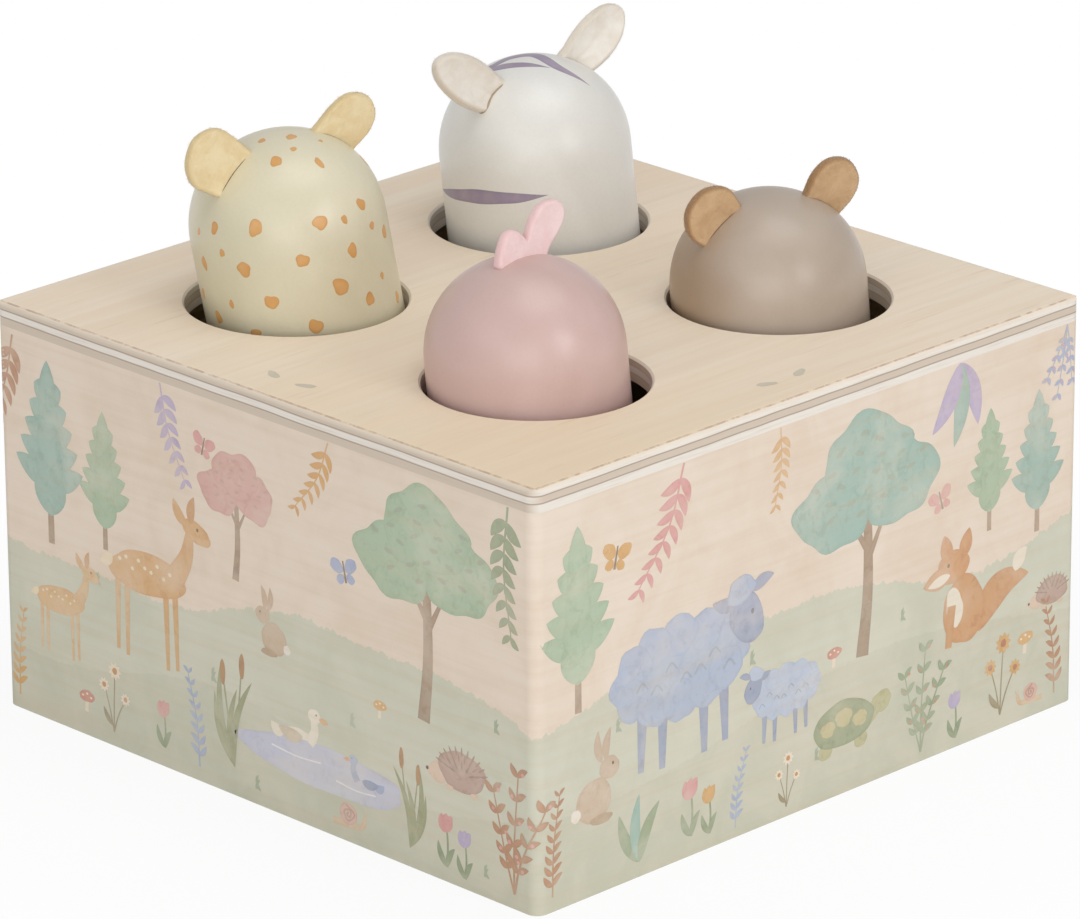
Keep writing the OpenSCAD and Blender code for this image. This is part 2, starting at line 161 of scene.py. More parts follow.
azimuth, elevation, roll = (math.radians(a) for a in (45.44, 20.62, -0.372))
back = np.array([math.sin(azimuth) * math.cos(elevation),
                 -math.cos(azimuth) * math.cos(elevation), math.sin(elevation)])
level = np.array([math.cos(azimuth), math.sin(azimuth), 0.0])
across = math.cos(roll) * level + math.sin(roll) * np.cross(back, level)

camera = bpy.data.objects.new("camera", bpy.data.cameras.new("camera"))
stand(camera, back, across, (0.979755, -0.964485, 0.568515))
camera.data.sensor_width = SENSOR
camera.data.lens = SENSOR * FOCAL_PIXELS / PHOTO_PIXELS
camera.data.clip_end = 50.0
bpy.context.scene.camera = camera
print("lens", round(camera.data.lens, 1), "mm")

# %% [markdown]
# ## Meshes from rings
#
# Nearly every new piece here is a skin over rings of points: a turned peg is a
# stack of circles, a spring is a circle carried along a path, and a felt ear is
# its own outline, shrunk towards the middle on both faces. So one helper joins
# ring to ring, closes the ends with a pole, and turns the faces outwards. It
# works on whole numpy arrays, which keeps it quick.

# %% Skins, and pieces made of them
def skin(rings, start=None, end=None, wrap=True, away_from=(0, 0, 0), rim=0.0,
         tint=(1, 1, 1, 1), cover=0.0):
    """A skin over rings[i, j]: row i is joined to row i + 1, and the last point of
    a row to its first if wrap. start and end are poles that close the rows. The
    faces look away from a point. rim, tint and cover are numbers that the
    finishes read at each point."""
    rings = np.asarray(rings, float)
    n, m = rings.shape[:2]
    index = np.arange(n * m).reshape(n, m)
    near, far = index[:-1], index[1:]
    if wrap:
        corners = [near, np.roll(near, -1, 1), np.roll(far, -1, 1), far]
    else:
        corners = [near[:, :-1], near[:, 1:], far[:, 1:], far[:, :-1]]
    quads = np.stack(corners, -1).reshape(-1, 4)
    points, tris = rings.reshape(-1, 3), np.zeros((0, 3), int)
    rim = np.broadcast_to(np.asarray(rim, float), (n, m)).ravel()
    for pole, ring in ((start, index[0]), (end, index[-1][::-1])):
        if pole is not None:
            fan = np.stack([np.full(m, len(points)), np.roll(ring, -1), ring], -1)
            points, tris = np.vstack([points, pole]), np.vstack([tris, fan])
            rim = np.append(rim, rim[ring].mean())
    a, b, c = (points[quads[:, k]] for k in (0, 1, 2))
    if (np.cross(b - a, c - a) * (a - away_from)).sum() < 0:
        quads, tris = quads[:, ::-1], tris[:, ::-1]
    return {"points": points, "quads": quads, "tris": tris, "rim": rim,
            "tint": np.tile(tint, (len(points), 1)), "cover": np.full(len(points), cover)}


def make(name, skins, finish, body=None, stands_for=None):
    """One smooth mesh from several skins. It rides on a body of the frame, unless
    body is None, and may stand for a node of the CAD."""
    starts = np.cumsum([0] + [len(s["points"]) for s in skins[:-1]])
    faces = sum(((s["quads"] + k).tolist() + (s["tris"] + k).tolist()
                 for s, k in zip(skins, starts)), [])
    mesh = bpy.data.meshes.new(name)
    mesh.from_pydata((np.vstack([s["points"] for s in skins]) * MM).tolist(), [], faces)
    mesh.polygons.foreach_set("use_smooth", np.ones(len(faces), bool))
    for key, kind, field in (("rim", "FLOAT", "value"), ("cover", "FLOAT", "value"),
                             ("tint", "FLOAT_COLOR", "color")):
        values = np.concatenate([s[key] for s in skins]).astype(np.float32)
        mesh.attributes.new(key, kind, "POINT").data.foreach_set(field, values.ravel())
    mesh.materials.append(finish)
    piece = bpy.data.objects.new(name, mesh)
    bpy.context.scene.collection.objects.link(piece)
    if body:
        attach(piece, body)
    if stands_for:
        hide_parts(stands_for)
    print(f"{name}: {len(faces)} faces")
    return piece


def smooth_path(points, count, closed=False):
    """A smooth path through points. Each stretch is the cubic that passes its two
    ends with the direction of their outer neighbours (Catmull and Rom's)."""
    p = np.asarray(points, float)
    if closed:
        p = np.vstack([p[-1:], p, p[:2]])
    else:
        p = np.vstack([2 * p[0] - p[1], p, 2 * p[-1] - p[-2]])
    u = np.linspace(0, len(p) - 3, count, endpoint=not closed)
    i = np.minimum(u.astype(int), len(p) - 4)
    t = (u - i)[:, None]
    a, b, c, d = p[i], p[i + 1], p[i + 2], p[i + 3]
    return 0.5 * (2 * b + (c - a) * t + (2 * a - 5 * b + 4 * c - d) * t**2
                  + (3 * b - a - 3 * c + d) * t**3)


def wavy_oval(wild, waves, wide, tall, tilt, count):
    """The outline of an oval whose radius also carries a few waves. Each is
    (number round the oval, height), and starts at a random phase."""
    phi = once_round(count)
    radius = 1 + sum(a * np.sin(k * phi + wild.uniform(0, 6.3)) for k, a in waves)
    c, s = cos_sin(tilt)
    x, y = radius * np.cos(phi) * wide / 2, radius * np.sin(phi) * tall / 2
    return np.stack([x * c - y * s, x * s + y * c], 1)


# %% [markdown]
# ## Finishes as small formulas
#
# A material in Blender is a graph of nodes. Written out one by one they hide the
# idea, so these helpers let us write each finish as a formula: noise stretched
# along the grain, a colour mixed by it, a bump from it. Everything reads Object
# coordinates, which stay fixed to the piece when it moves.

# %% Helpers for finishes
def rgb(code):
    """A web colour such as "e8d2b0" as the linear colour that Blender works in."""
    c = np.array([int(code[i:i + 2], 16) for i in (0, 2, 4)]) / 255
    linear = np.where(c < 0.04045, c / 12.92, ((c + 0.055) / 1.055) ** 2.4)
    return (*linear.tolist(), 1.0)


class Finish:
    """The nodes of one material, or of the world, added one after another. A
    colour may be given as its web code."""

    def __init__(self, name, store="materials"):
        self.owner = getattr(bpy.data, store).new(name)
        self.owner.use_nodes = True
        self.tree = self.owner.node_tree
        self.tree.nodes.clear()

    @cached_property
    def place(self):
        """Where a point lies on its piece, in metres."""
        return self.put("ShaderNodeTexCoord").outputs["Object"]

    def feed(self, socket, value):
        """Links a socket to another one, or sets it."""
        if isinstance(value, bpy.types.NodeSocket):
            self.tree.links.new(value, socket)
        else:
            socket.default_value = rgb(value) if isinstance(value, str) else value

    def put(self, kind, settings=None, values=(), **named):
        """A node with its settings, and its sockets fed in order or by name."""
        node = self.tree.nodes.new(kind)
        for key, value in (settings or {}).items():
            setattr(node, key, value)
        for socket, value in zip(node.inputs, values):
            self.feed(socket, value)
        for key, value in named.items():
            self.feed(node.inputs[key.replace("_", " ")], value)
        return node

    def calc(self, operation, *values):
        """One step of arithmetic, such as calc("ADD", a, b)."""
        return self.put("ShaderNodeMath", {"operation": operation}, values).outputs[0]

    def times(self, a, b):
        return self.calc("MULTIPLY", a, b)

    def minus(self, a, b):
        return self.calc("SUBTRACT", a, b)

    def split(self, vector=None):
        """The x, y and z of a vector, by itself those of the place."""
        return self.put("ShaderNodeSeparateXYZ", Vector=vector or self.place).outputs

    def facing(self):
        """The x, y and z of the direction that the surface faces."""
        return self.split(self.put("ShaderNodeNewGeometry").outputs["Normal"])

    def outward(self):
        """How far out a point lies: the larger of |x| and |y|."""
        x, y, _ = self.split()
        return self.calc("MAXIMUM", self.calc("ABSOLUTE", x), self.calc("ABSOLUTE", y))

    def noise(self, scale, detail=3.0, rough=0.5, twist=0.0, shift=(0, 0, 0)):
        """Cloudy noise from 0 to 1, about 0.5 on average. A large scale makes it
        fine, and three of them stretch it, along x, y and z."""
        vector = self.place
        if isinstance(scale, tuple):
            vector = self.put("ShaderNodeMapping", Vector=vector, Scale=scale,
                              Location=shift).outputs[0]
            scale = 1.0
        return self.put("ShaderNodeTexNoise", Vector=vector, Scale=scale, Detail=detail,
                        Roughness=rough, Distortion=twist).outputs["Fac"]

    def step(self, value, low, high, to_low=0.0, to_high=1.0):
        """Goes smoothly from to_low to to_high while value goes from low to high."""
        return self.put("ShaderNodeMapRange", {"interpolation_type": "SMOOTHSTEP"},
                        (value, low, high, to_low, to_high)).outputs["Result"]

    def mix(self, amount, a, b, kind="MIX"):
        """Colour a where amount is 0, b where it is 1."""
        node = self.put("ShaderNodeMix", {"data_type": "RGBA", "blend_type": kind}, [amount])
        for socket, colour in zip([s for s in node.inputs if s.type == "RGBA"], (a, b)):
            self.feed(socket, colour)
        return next(s for s in node.outputs if s.type == "RGBA")

    def shade(self, value, low, high, light, dark):
        """From a light colour to a dark one while value goes from low to high."""
        return self.mix(self.step(value, low, high), light, dark)

    def tinge(self, colour, other, value, low, high, most):
        """A colour with a share of another, from 0 to most in the same way."""
        return self.mix(self.step(value, low, high, 0.0, most), colour, other)

    def read(self, name, output="Fac"):
        """A number or colour that is stored at the mesh's points."""
        return self.put("ShaderNodeAttribute", {"attribute_name": name}).outputs[output]

    def bump(self, height, depth, strength=1.0, **under):
        """Raises the surface by depth millimetres where height is 1, over
        another bump if that is given as Normal."""
        return self.put("ShaderNodeBump", Strength=strength, Distance=depth * MM, Height=height,
                        **under).outputs[0]

    def done(self, colour, roughness, **more):
        """Ends the graph in a Principled shader."""
        shader = self.put("ShaderNodeBsdfPrincipled", Base_Color=colour, Roughness=roughness,
                          **more)
        return self.end(shader)

    def end(self, shader):
        """Links the last shader to the graph's output."""
        kind = "World" if isinstance(self.owner, bpy.types.World) else "Material"
        self.put("ShaderNodeOutput" + kind, Surface=shader.outputs[0])
        print(f"{self.owner.name}: {len(self.tree.nodes)} nodes")
        return self.owner


# %% [markdown]
# ## Birch plywood
#
# The top panel is three plies of birch. On its face the grain runs front to
# back as faint, long streaks. On its edges each ply shows either its side grain,
# which is pale, or its end grain, which is greyer, because neighbouring plies
# cross, and thin dark glue lines lie between them. All of that follows from the
# height within the panel and the direction that the surface faces.

# %% Finish of the top panel
GLUE = 0.355, 0.665  # heights of the two glue lines, as shares of the panel's thickness


def plywood_finish():
    f = Finish("birch_plywood")
    fine = f.noise((420, 20, 420), 4, 0.6, 0.4)
    broad = f.noise((67.2, 3.2, 67.2), 2, 0.5, 0.8, (3, 5, 1))
    pores = f.noise((900, 60, 900), 1, 0.4)
    x, y, z = f.split()
    nx, ny, nz = f.facing()
    face = f.shade(fine, 0.25, 0.8, "f3e5d0", "eddbc3")
    face = f.tinge(face, "f1dabf", broad, 0.3, 0.75, 0.5)
    # The face is a little warmer towards its front corner.
    face = f.tinge(face, "e9cfa6", f.minus(x, y), 40 * MM, 130 * MM, 0.4)
    face = f.tinge(face, "b99b76", pores, 0.66, 0.78, 0.14)
    # Height in the panel, 0 at its underside and 1 at its face, a little uneven.
    flat = f.calc("DIVIDE", f.minus(z, (HEIGHT - TOP_T) * MM), TOP_T * MM)
    level_in = f.calc("ADD", flat, f.times(f.minus(f.noise(55, 2), 0.5), 0.10))
    # The middle ply shows end grain where the edge faces x, the outer two where
    # it faces y.
    middle = f.times(f.step(level_in, 0.34, 0.37), f.step(level_in, 0.65, 0.68, 1.0, 0.0))
    end_grain = f.calc("ADD", f.times(f.minus(1.0, middle), f.times(ny, ny)),
                       f.times(middle, f.times(nx, nx)))
    edge = f.mix(end_grain, "efe7dc", "d6c6b4")
    edge = f.tinge(edge, "cbb9a4", f.noise((90, 90, 2600), 2, 0.6), 0.45, 0.75, 0.3)
    lower, upper = (f.calc("ABSOLUTE", f.minus(level_in, height)) for height in GLUE)
    glue = f.step(f.calc("MINIMUM", lower, upper), 0.010, 0.045, 0.75, 0.0)
    # The glue is fainter in the holes, where the saw has smeared it.
    glue = f.times(glue, f.step(f.outward(), (SIDE / 2 - 5) * MM, (SIDE / 2 - 3) * MM, 0.45, 1.0))
    edge = f.tinge(f.mix(glue, edge, "9c8672"), "e3d3bc", nz, 0.1, 0.6, 0.4)
    colour = f.mix(f.step(f.calc("ABSOLUTE", nz), 0.72, 0.9, 1.0, 0.0), face, edge)
    # A thin, broken line where the sanded edge meets the face.
    border = f.times(f.step(nz, 0.80, 0.88), f.step(nz, 0.95, 0.98, 1.0, 0.0))
    specks = f.step(f.noise(420, 4, 0.7), 0.36, 0.62, 0.12, 0.62)
    colour = f.mix(f.times(border, specks), colour, "a3806b")
    cover = f.times(f.read("cover"), f.step(broad, 0.2, 0.8, 0.7, 1.0))
    colour = f.mix(cover, colour, f.read("tint", "Color"))
    return f.done(colour, f.step(broad, 0.3, 0.7, 0.5, 0.6), Normal=f.bump(fine, 0.03, 0.5))


plywood = plywood_finish()

# %% [markdown]
# ## Printed walls
#
# The four walls carry one print that runs on round the corners: a warm pale sky
# over soft green hills, thin enough that the grain shows through. The hills'
# outlines are sums of sine waves in x and in y, so they meet at the corners by
# themselves, and a little fine noise makes the fringe of grass. The plants and
# animals are separate patches (made further down) that read the same finish.

# %% Finish of the printed walls
def printed_finish():
    f = Finish("printed_birch")
    fine = f.noise((22, 22, 620), 4, 0.6, 0.3)
    broad = f.noise(26, 3, 0.55)
    wash = f.noise(75, 4, 0.6, 0.5)
    grains = f.noise(420, 4, 0.7, 0.6)
    x, y, z = f.split()
    nz = f.facing()[2]

    def ground(base, waves, fringe):
        """1 below a hill's outline and 0 above it. Each wave is height times the
        sine of (x or y times turns, plus phase)."""
        edge = base * MM
        for axis, turns, phase, height in waves:
            sine = f.calc("SINE", f.calc("MULTIPLY_ADD", axis, turns, phase))
            edge = f.calc("ADD", f.times(sine, height * MM), edge)
        grass = f.minus(f.noise((520, 520, 40), 2, 0.7), 0.5)
        edge = f.calc("ADD", edge, f.times(grass, fringe * MM))
        return f.step(f.minus(edge, z), -0.10 * MM, 0.25 * MM)

    def darker(colour):
        """A colour multiplied by itself."""
        return f.mix(1.0, colour, colour, "MULTIPLY")

    sky = f.shade(wash, 0.3, 0.75, "ecdccb", "e6d3bf")
    far = f.shade(wash, 0.25, 0.8, "d7d4c2", "cdccb8")
    near = f.shade(wash, 0.3, 0.7, "d3cfbc", "c8c8b4")
    hills = [(x, 44, 0.4, 4.2), (y, 51, 2.4, 3.6), (x, 118, 1.0, 1.1), (y, 97, 0.2, 1.3)]
    colour = f.mix(ground(43, hills, 3.4), sky, far)
    colour = f.mix(ground(21, [(x, 60, 2.2, 4.0), (y, 40, 0.8, 4.6)], 1.6), colour, near)
    tint = f.read("tint", "Color")
    # A wash of paint pools at its rim and is uneven within.
    ink = f.mix(f.times(f.read("rim"), 0.22), tint, darker(tint))
    ink = f.tinge(ink, "f1e6d6", wash, 0.38, 0.68, 0.3)
    ink = f.tinge(ink, darker(ink), grains, 0.48, 0.7, 0.3)
    cover = f.times(f.read("cover"), f.step(broad, 0.2, 0.8, 0.85, 1.0))
    colour = f.tinge(f.mix(cover, colour, ink), "c9a97f", fine, 0.35, 0.8, 0.16)
    colour = f.tinge(colour, "fff4e4", broad, 0.4, 0.8, 0.10)
    # Only the outer faces are printed: inside and underneath the wood is bare.
    inside = f.step(f.outward(), (SIDE / 2 - 2.8) * MM, (SIDE / 2 - 2.4) * MM, 1.0, 0.0)
    bare = f.calc("MAXIMUM", inside, f.step(f.calc("ABSOLUTE", nz), 0.5, 0.8))
    colour = f.mix(bare, colour, f.shade(fine, 0.3, 0.75, "e6d2b2", "cfb58c"))
    return f.done(colour, f.step(broad, 0.3, 0.7, 0.6, 0.7), Normal=f.bump(fine, 0.03, 0.45),
                  Specular_IOR_Level=0.3)


printed = printed_finish()

# %% [markdown]
# ## Bare wood and steel inside
#
# The base, the corner blocks and the posts under the springs are bare, sanded
# softwood, with growth lines along their grain. The screws are zinc plated and
# the springs are drawn wire, which has fine lines along it and a darker tone.

# %% Finishes of what is inside
def bare_wood_finish():
    f = Finish("bare_wood")
    lines = f.noise((14, 260, 260), 4, 0.6, 1.2)
    fibre = f.noise((60, 1600, 1600), 2, 0.6)
    colour = f.shade(lines, 0.3, 0.7, "e0c79c", "c8a572")
    colour = f.tinge(colour, "a9824f", fibre, 0.45, 0.75, 0.3)
    return f.done(colour, 0.7, Normal=f.bump(fibre, 0.05, 0.5))


def steel_finish(name, code, roughness):
    f = Finish(name)
    marks = f.noise(900, 3, 0.7)
    return f.done(f.shade(marks, 0.3, 0.7, code, "8d9094"),
                  f.step(marks, 0.3, 0.7, roughness, roughness + 0.15),
                  Normal=f.bump(marks, 0.01, 0.3), Metallic=1.0)


bare_wood = bare_wood_finish()
spring_steel = steel_finish("spring_steel", "b4b6b8", 0.28)
zinc = steel_finish("zinc_plate", "cfcfc8", 0.32)

# %% Give the CAD pieces their finishes
OWN_FINISH = {"top_panel": plywood, "base_screws": zinc}
for node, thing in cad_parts.items():
    finish = OWN_FINISH.get(node, printed if node.startswith("wall_") else bare_wood)
    thing.data.materials.clear()
    thing.data.materials.append(finish)
print(len(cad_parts), "CAD nodes")

# %% [markdown]
# ## Turned pegs
#
# A peg is turned from one piece of wood: a collar that keeps it in the box, a
# straight shaft and a domed head. Half of its outline, spun about the axis, gives
# all of it. The head isn't a half ball but a little fuller at its shoulders: a
# curve of (r / R)^2 + (z / H)^n = 1 with n a bit over 2. Edges are broken with a
# small round, because a real lathe edge always is, and it catches the light.

# %% Shape of a turned peg
def dome_at(angle):
    """Radius from the dome's centre to its surface at an angle from the axis,
    halved in on where (r sin / R)^2 + (r cos / H)^n passes 1."""
    angle = np.asarray(angle, float)
    low, high = np.full(angle.shape, PEG_R / 2), np.full(angle.shape, PEG_R * 2)
    for _ in range(40):
        r = (low + high) / 2
        past = (r * np.sin(angle) / PEG_R) ** 2 + np.abs(r * np.cos(angle) / DOME_H) ** FULL > 1
        low, high = np.where(past, low, r), np.where(past, r, high)
    return (low + high) / 2


def rounded(corner, before, after, r, steps=4):
    """A small round in place of a corner: the quadratic curve whose ends lie r
    along each arm."""
    c = np.asarray(corner, float)
    p, q = c + r * unit(np.subtract(before, c)), c + r * unit(np.subtract(after, c))
    t = np.linspace(0, 1, steps)[:, None]
    return (1 - t) ** 2 * p + 2 * t * (1 - t) * c + t**2 * q


def turned_peg(animal, sides=128, shaft_rows=14, dome_rows=57):
    """The peg's half outline (r, z), spun about its axis."""
    centre = dome_centre(animal)[2]
    bends = [(0, BORE_TOP), (BORE_R, BORE_TOP), (BORE_R, PEG_FOOT), (COLLAR_R, PEG_FOOT),
             (COLLAR_R, COLLAR_TOP), (PEG_R, COLLAR_TOP), (PEG_R, centre)]
    line = [[(2.0, BORE_TOP), (7.0, BORE_TOP)]]
    for i in range(1, len(bends) - 1):
        r = 0.8 if bends[i][0] == COLLAR_R else 0.4
        line.append(rounded(bends[i], bends[i - 1], bends[i + 1], r))
    shaft = np.linspace(COLLAR_TOP + 1.5, centre, shaft_rows)
    line.append(np.stack([np.full(shaft_rows, PEG_R), shaft], 1))
    polar = np.radians(np.linspace(90, 0, dome_rows)[1:-1])
    reach = dome_at(polar)
    line.append(np.stack([reach * np.sin(polar), centre + reach * np.cos(polar)], 1))
    line = np.vstack(line)
    turn = once_round(sides)
    rings = np.stack([line[:, :1] * np.cos(turn), line[:, :1] * np.sin(turn),
                      np.repeat(line[:, 1:], sides, 1)], -1)
    return placed(animal, skin(rings, (0, 0, BORE_TOP), (0, 0, centre + DOME_H)))


print("dome reach at 0, 45 and 90 degrees:", np.round(dome_at(np.radians([0, 45, 90])), 2))

# %% [markdown]
# ## Satin paint
#
# The pegs are dipped in a satin, slightly chalky paint. Up close it isn't flat:
# the colour drifts a little over a few centimetres, very fine turning marks run
# round the wood beneath it, and the sheen varies. At the foot of the collar,
# where the paint was never wanted, the bare wood shows.

# %% Finish of the painted pegs
def paint_finish(name, light, dark, painted_shade=None):
    """Satin paint between two tones. If a third tone is given, it is painted on as
    shade on the side that faces the middle of the toy."""
    f = Finish(name)
    drift = f.noise(38, 3, 0.5, 0.6)
    grit = f.noise(1500, 2, 0.6)
    turning = f.noise((30, 30, 2400), 2, 0.6)
    x, y, z = f.split()
    colour = f.shade(drift, 0.3, 0.7, light, dark)
    if painted_shade:
        # Painted shade: towards the middle of the toy the paint darkens to the third tone.
        middle = f.step(f.calc("ADD", x, y), 38 * MM, 57 * MM, 0.9, 0.0)
        colour = f.mix(middle, colour, painted_shade)
    colour = f.tinge(colour, "6b5a48", grit, 0.35, 0.7, 0.025)
    foot = (HEIGHT + COLLAR_TOP + 1) * MM
    bare = f.step(z, foot - 4 * MM, foot, 1.0, 0.0)
    colour = f.mix(bare, colour, f.shade(turning, 0.3, 0.7, "dcc193", "bf9a66"))
    bump = f.bump(grit, 0.003, 0.15, Normal=f.bump(turning, 0.006, 0.25))
    return f.done(colour, f.step(drift, 0.3, 0.7, 0.36, 0.42), Normal=bump,
                  Specular_IOR_Level=0.5, Coat_Weight=0.22, Coat_Roughness=0.26)


PAINTS = {
    "leopard": paint_finish("leopard_paint", "ded6bb", "d5cdaf"),
    "zebra": paint_finish("zebra_paint", "e8e6e0", "e0ddd6"),
    "bird": paint_finish("bird_paint", "d0b2ab", "c7a79f"),
    # The bear's third tone is painted shade on its side towards the middle of the toy.
    "bear": paint_finish("bear_paint", "b8a898", "ae9d8c", "a68d73"),
}
for animal, paint in PAINTS.items():
    make(animal + "_peg", [turned_peg(animal)], paint, animal, "peg_" + animal)

# %% [markdown]
# ## Spots and stripes
#
# The leopard's spots and the zebra's stripes are brushed on. We lay each one as a
# thin patch of paint on the peg's surface. A patch starts flat, on the plane that
# touches the peg at its middle, and every point is then drawn onto the surface:
# on the shaft straight towards the axis, and on the dome towards its centre.

# %% Lay a patch on a peg
# A slot's dark line is a patch of painted shade over the gap round the felt.
BRUSHED, SLOT_SHADE_LIFT = 0.03, 0.02  # how thick a patch of paint and a slot's dark line are
SPOT_SIDES, STRIPE_STEPS = 36, 90


def onto_peg(points, centre, lift=0.0):
    """Draws points onto a peg's surface. With z above the dome's centre, it is
    the dome's own reach in that direction; below it, only the distance from the
    axis changes."""
    p = np.array(points, float) - centre
    flat = np.hypot(p[..., 0], p[..., 1])
    angle = np.arctan2(flat, np.maximum(p[..., 2], 1e-9))
    size = np.linalg.norm(p, axis=-1)
    up = p[..., 2] > 0
    grow = np.where(up, (dome_at(angle) + lift) / np.maximum(size, 1e-9),
                    (PEG_R + lift) / np.maximum(flat, 1e-9))
    laid = p * grow[..., None]
    laid[..., 2] = np.where(up, laid[..., 2], p[..., 2])
    return laid + centre


def point_on_peg(turn, height, centre):
    """The surface point at a turn about the axis, and a height over the dome's
    centre."""
    c, s = cos_sin(turn)
    r = PEG_R * (1 - max(height, 0) ** FULL / DOME_H**FULL) ** 0.5
    return np.array([r * c, r * s, height]) + centre


def touching_plane(point, centre):
    """Two directions in the surface at a point, sideways and up."""
    p = point - centre
    climb = max(p[2], 0) ** (FULL - 1) * FULL / DOME_H**FULL
    out = unit([2 * p[0] / PEG_R**2, 2 * p[1] / PEG_R**2, climb])
    side = unit(np.cross([0, 0, 1], out) if np.hypot(out[0], out[1]) > 1e-6 else [1, 0, 0])
    return side, np.cross(out, side)


def spot(animal, turn, height, wide, tall, tilt, seed):
    """A brushed spot: a wavy oval, in rings from its middle to its rim."""
    centre = dome_centre(animal)
    oval = wavy_oval(np.random.default_rng(seed), ((2, 0.07), (3, 0.08), (4, 0.04), (5, 0.03)),
                     wide, tall, tilt, SPOT_SIDES)
    middle = point_on_peg(turn, height, centre)
    side, up = touching_plane(middle, centre)
    flat = oval[:, :1] * side + oval[:, 1:] * up
    grow = np.array([0.25, 0.5, 0.75, 0.93, 1.0])[:, None, None]
    rings = onto_peg(middle + grow * flat, centre, BRUSHED)
    rings[-1] = onto_peg(rings[-1], centre)
    rim = np.array([0, 0, 0.2, 0.8, 1.0])[:, None]
    top = onto_peg(middle, centre, BRUSHED)
    return placed(animal, skin(rings, top, away_from=centre, rim=rim))


def stripe(animal, path, half_widths, rows=7):
    """A brushed stripe: a ribbon along a smooth path of (turn, height) points,
    with its half width given at the same points."""
    centre = dome_centre(animal)
    knots = np.array([point_on_peg(turn, height, centre) for turn, height in path])
    line = onto_peg(smooth_path(knots, STRIPE_STEPS), centre)
    half = smooth_path(np.stack([half_widths] * 2, 1), STRIPE_STEPS)[:, 0].clip(0.02)
    half = half * (1 + 0.05 * np.sin(np.linspace(0, 17, STRIPE_STEPS)))
    side = unit(np.cross(unit(line - centre), unit(np.gradient(line, axis=0))))
    share = np.linspace(-1, 1, rows)
    grid = line[:, None] + half[:, None, None] * share[None, :, None] * side[:, None]
    grid = onto_peg(grid, centre, BRUSHED)
    grid[:, [0, -1]] = onto_peg(grid[:, [0, -1]], centre)
    rim = np.abs(share) ** 4
    return placed(animal, skin(grid, wrap=False, away_from=centre, rim=rim))


print("a point half way up the dome:", np.round(point_on_peg(0, 10, np.zeros(3)), 1))

# %% Spots of the leopard
# turn, height over the dome's centre, width, height, tilt
SPOTS = [
    (-79.5, 19.0, 1.6, 1.6, 0), (19.0, 18.7, 2.3, 2.0, 20), (35.2, 16.8, 0.9, 1.0, 0),
    (-9.7, 17.7, 1.3, 1.3, 0), (-38.8, 16.9, 2.4, 2.6, 10), (1.7, 14.9, 1.5, 2.6, -5),
    (12.5, 5.7, 2.2, 2.6, 20), (-4.1, 4.7, 1.4, 1.7, 0), (-19.9, 5.8, 2.9, 2.9, 0),
    (-59.5, 7.1, 2.8, 3.3, -8), (-89.4, 6.7, 1.8, 2.6, 0), (-105.4, 5.1, 1.0, 1.5, 0),
    (16.1, 0.8, 1.5, 1.7, 0), (29.9, -2.5, 2.3, 2.6, 10), (-83.9, 2.1, 1.4, 1.5, 0),
    (-3.6, -1.7, 2.2, 2.9, 0), (-35.0, -0.5, 2.7, 2.6, 20), (-70.3, -1.0, 3.0, 3.0, 30),
    (-102.9, -1.2, 1.8, 3.0, 0), (16.6, -9.8, 1.1, 1.6, 0), (-15.7, -7.8, 2.8, 4.2, 30),
    (2.4, -12.7, 2.3, 2.6, 10), (-57.2, -8.0, 2.8, 2.9, 15), (-84.2, -8.6, 1.2, 1.7, 0),
    (-98.7, -12.2, 2.0, 2.9, 10), (-70.7, -14.4, 2.2, 2.0, 0), (-34.7, -14.3, 2.9, 2.9, 0),
    (30.7, -16.4, 1.8, 2.4, 0), (-114.4, -8.6, 1.6, 2.4, 0),
]
# The far side is filled in the same spirit, by steps that never line up.
for n in range(46):
    turn, wide = 360 * (n * 0.7549 % 1), 1.2 + 1.9 * (n * 0.37 % 1)
    if 50 < turn < 232:
        SPOTS.append((turn, 17.5 - 34 * (n * 0.5698 % 1), wide, wide * 1.15, 40 * math.sin(n)))
print(len(SPOTS), "spots")


def brushed_finish(name, light, dark, rim):
    """Brushed paint over the satin coat, a little thicker at its rim."""
    f = Finish(name)
    drift = f.noise(140, 3, 0.6)
    streak = f.noise((260, 260, 180), 2, 0.6)
    colour = f.shade(drift, 0.3, 0.7, light, dark)
    colour = f.tinge(colour, "f0dcc0", streak, 0.4, 0.75, 0.1)
    colour = f.mix(f.times(f.read("rim"), 0.3), colour, rim)
    return f.done(colour, 0.42, Normal=f.bump(streak, 0.01, 0.4), Coat_Weight=0.2,
                  Coat_Roughness=0.28)


spot_paint = brushed_finish("spot_paint", "dca868", "d09850", "ae7638")
make("leopard_spots", [spot("leopard", *s, seed) for seed, s in enumerate(SPOTS)], spot_paint,
     "leopard")

# %% Stripes of the zebra
# path of (turn, height), and half widths at the same points
STRIPES = [
    ([(-150, 15.6), (-139, 18.0), (-170, 18.8), (100, 19.05), (14, 17.9), (20, 14.0)],
     [0.3, 1.2, 1.6, 1.6, 1.1, 0.02]),
    ([(-126, 16.4), (-121, 18.0), (-72, 18.9), (1, 18.1)], [0.2, 1.0, 1.1, 0.02]),
    ([(-128, -5.8), (-105, -4.7), (-87, -3.9), (-70, -3.65), (-55, -3.65), (-38, -3.5)],
     [0.05, 1.1, 1.45, 1.4, 0.95, 0.02]),
    ([(72, 9.0), (96, 7.5), (122, 8.2), (150, 7.2)], [0.02, 1.3, 1.2, 0.05]),
    ([(62, -8.6), (84, -7.6), (104, -8.4), (132, -7.4)], [0.05, 1.1, 1.4, 0.02]),
    ([(160, 1.0), (190, 2.6), (222, 1.6)], [0.05, 1.5, 0.05]),
    ([(150, -12.6), (185, -11.2), (215, -12.2)], [0.02, 1.2, 0.05]),
]
stripe_paint = brushed_finish("stripe_paint", "a294a8", "94869a", "73667f")
make("zebra_stripes", [stripe("zebra", *s) for s in STRIPES], stripe_paint, "zebra")

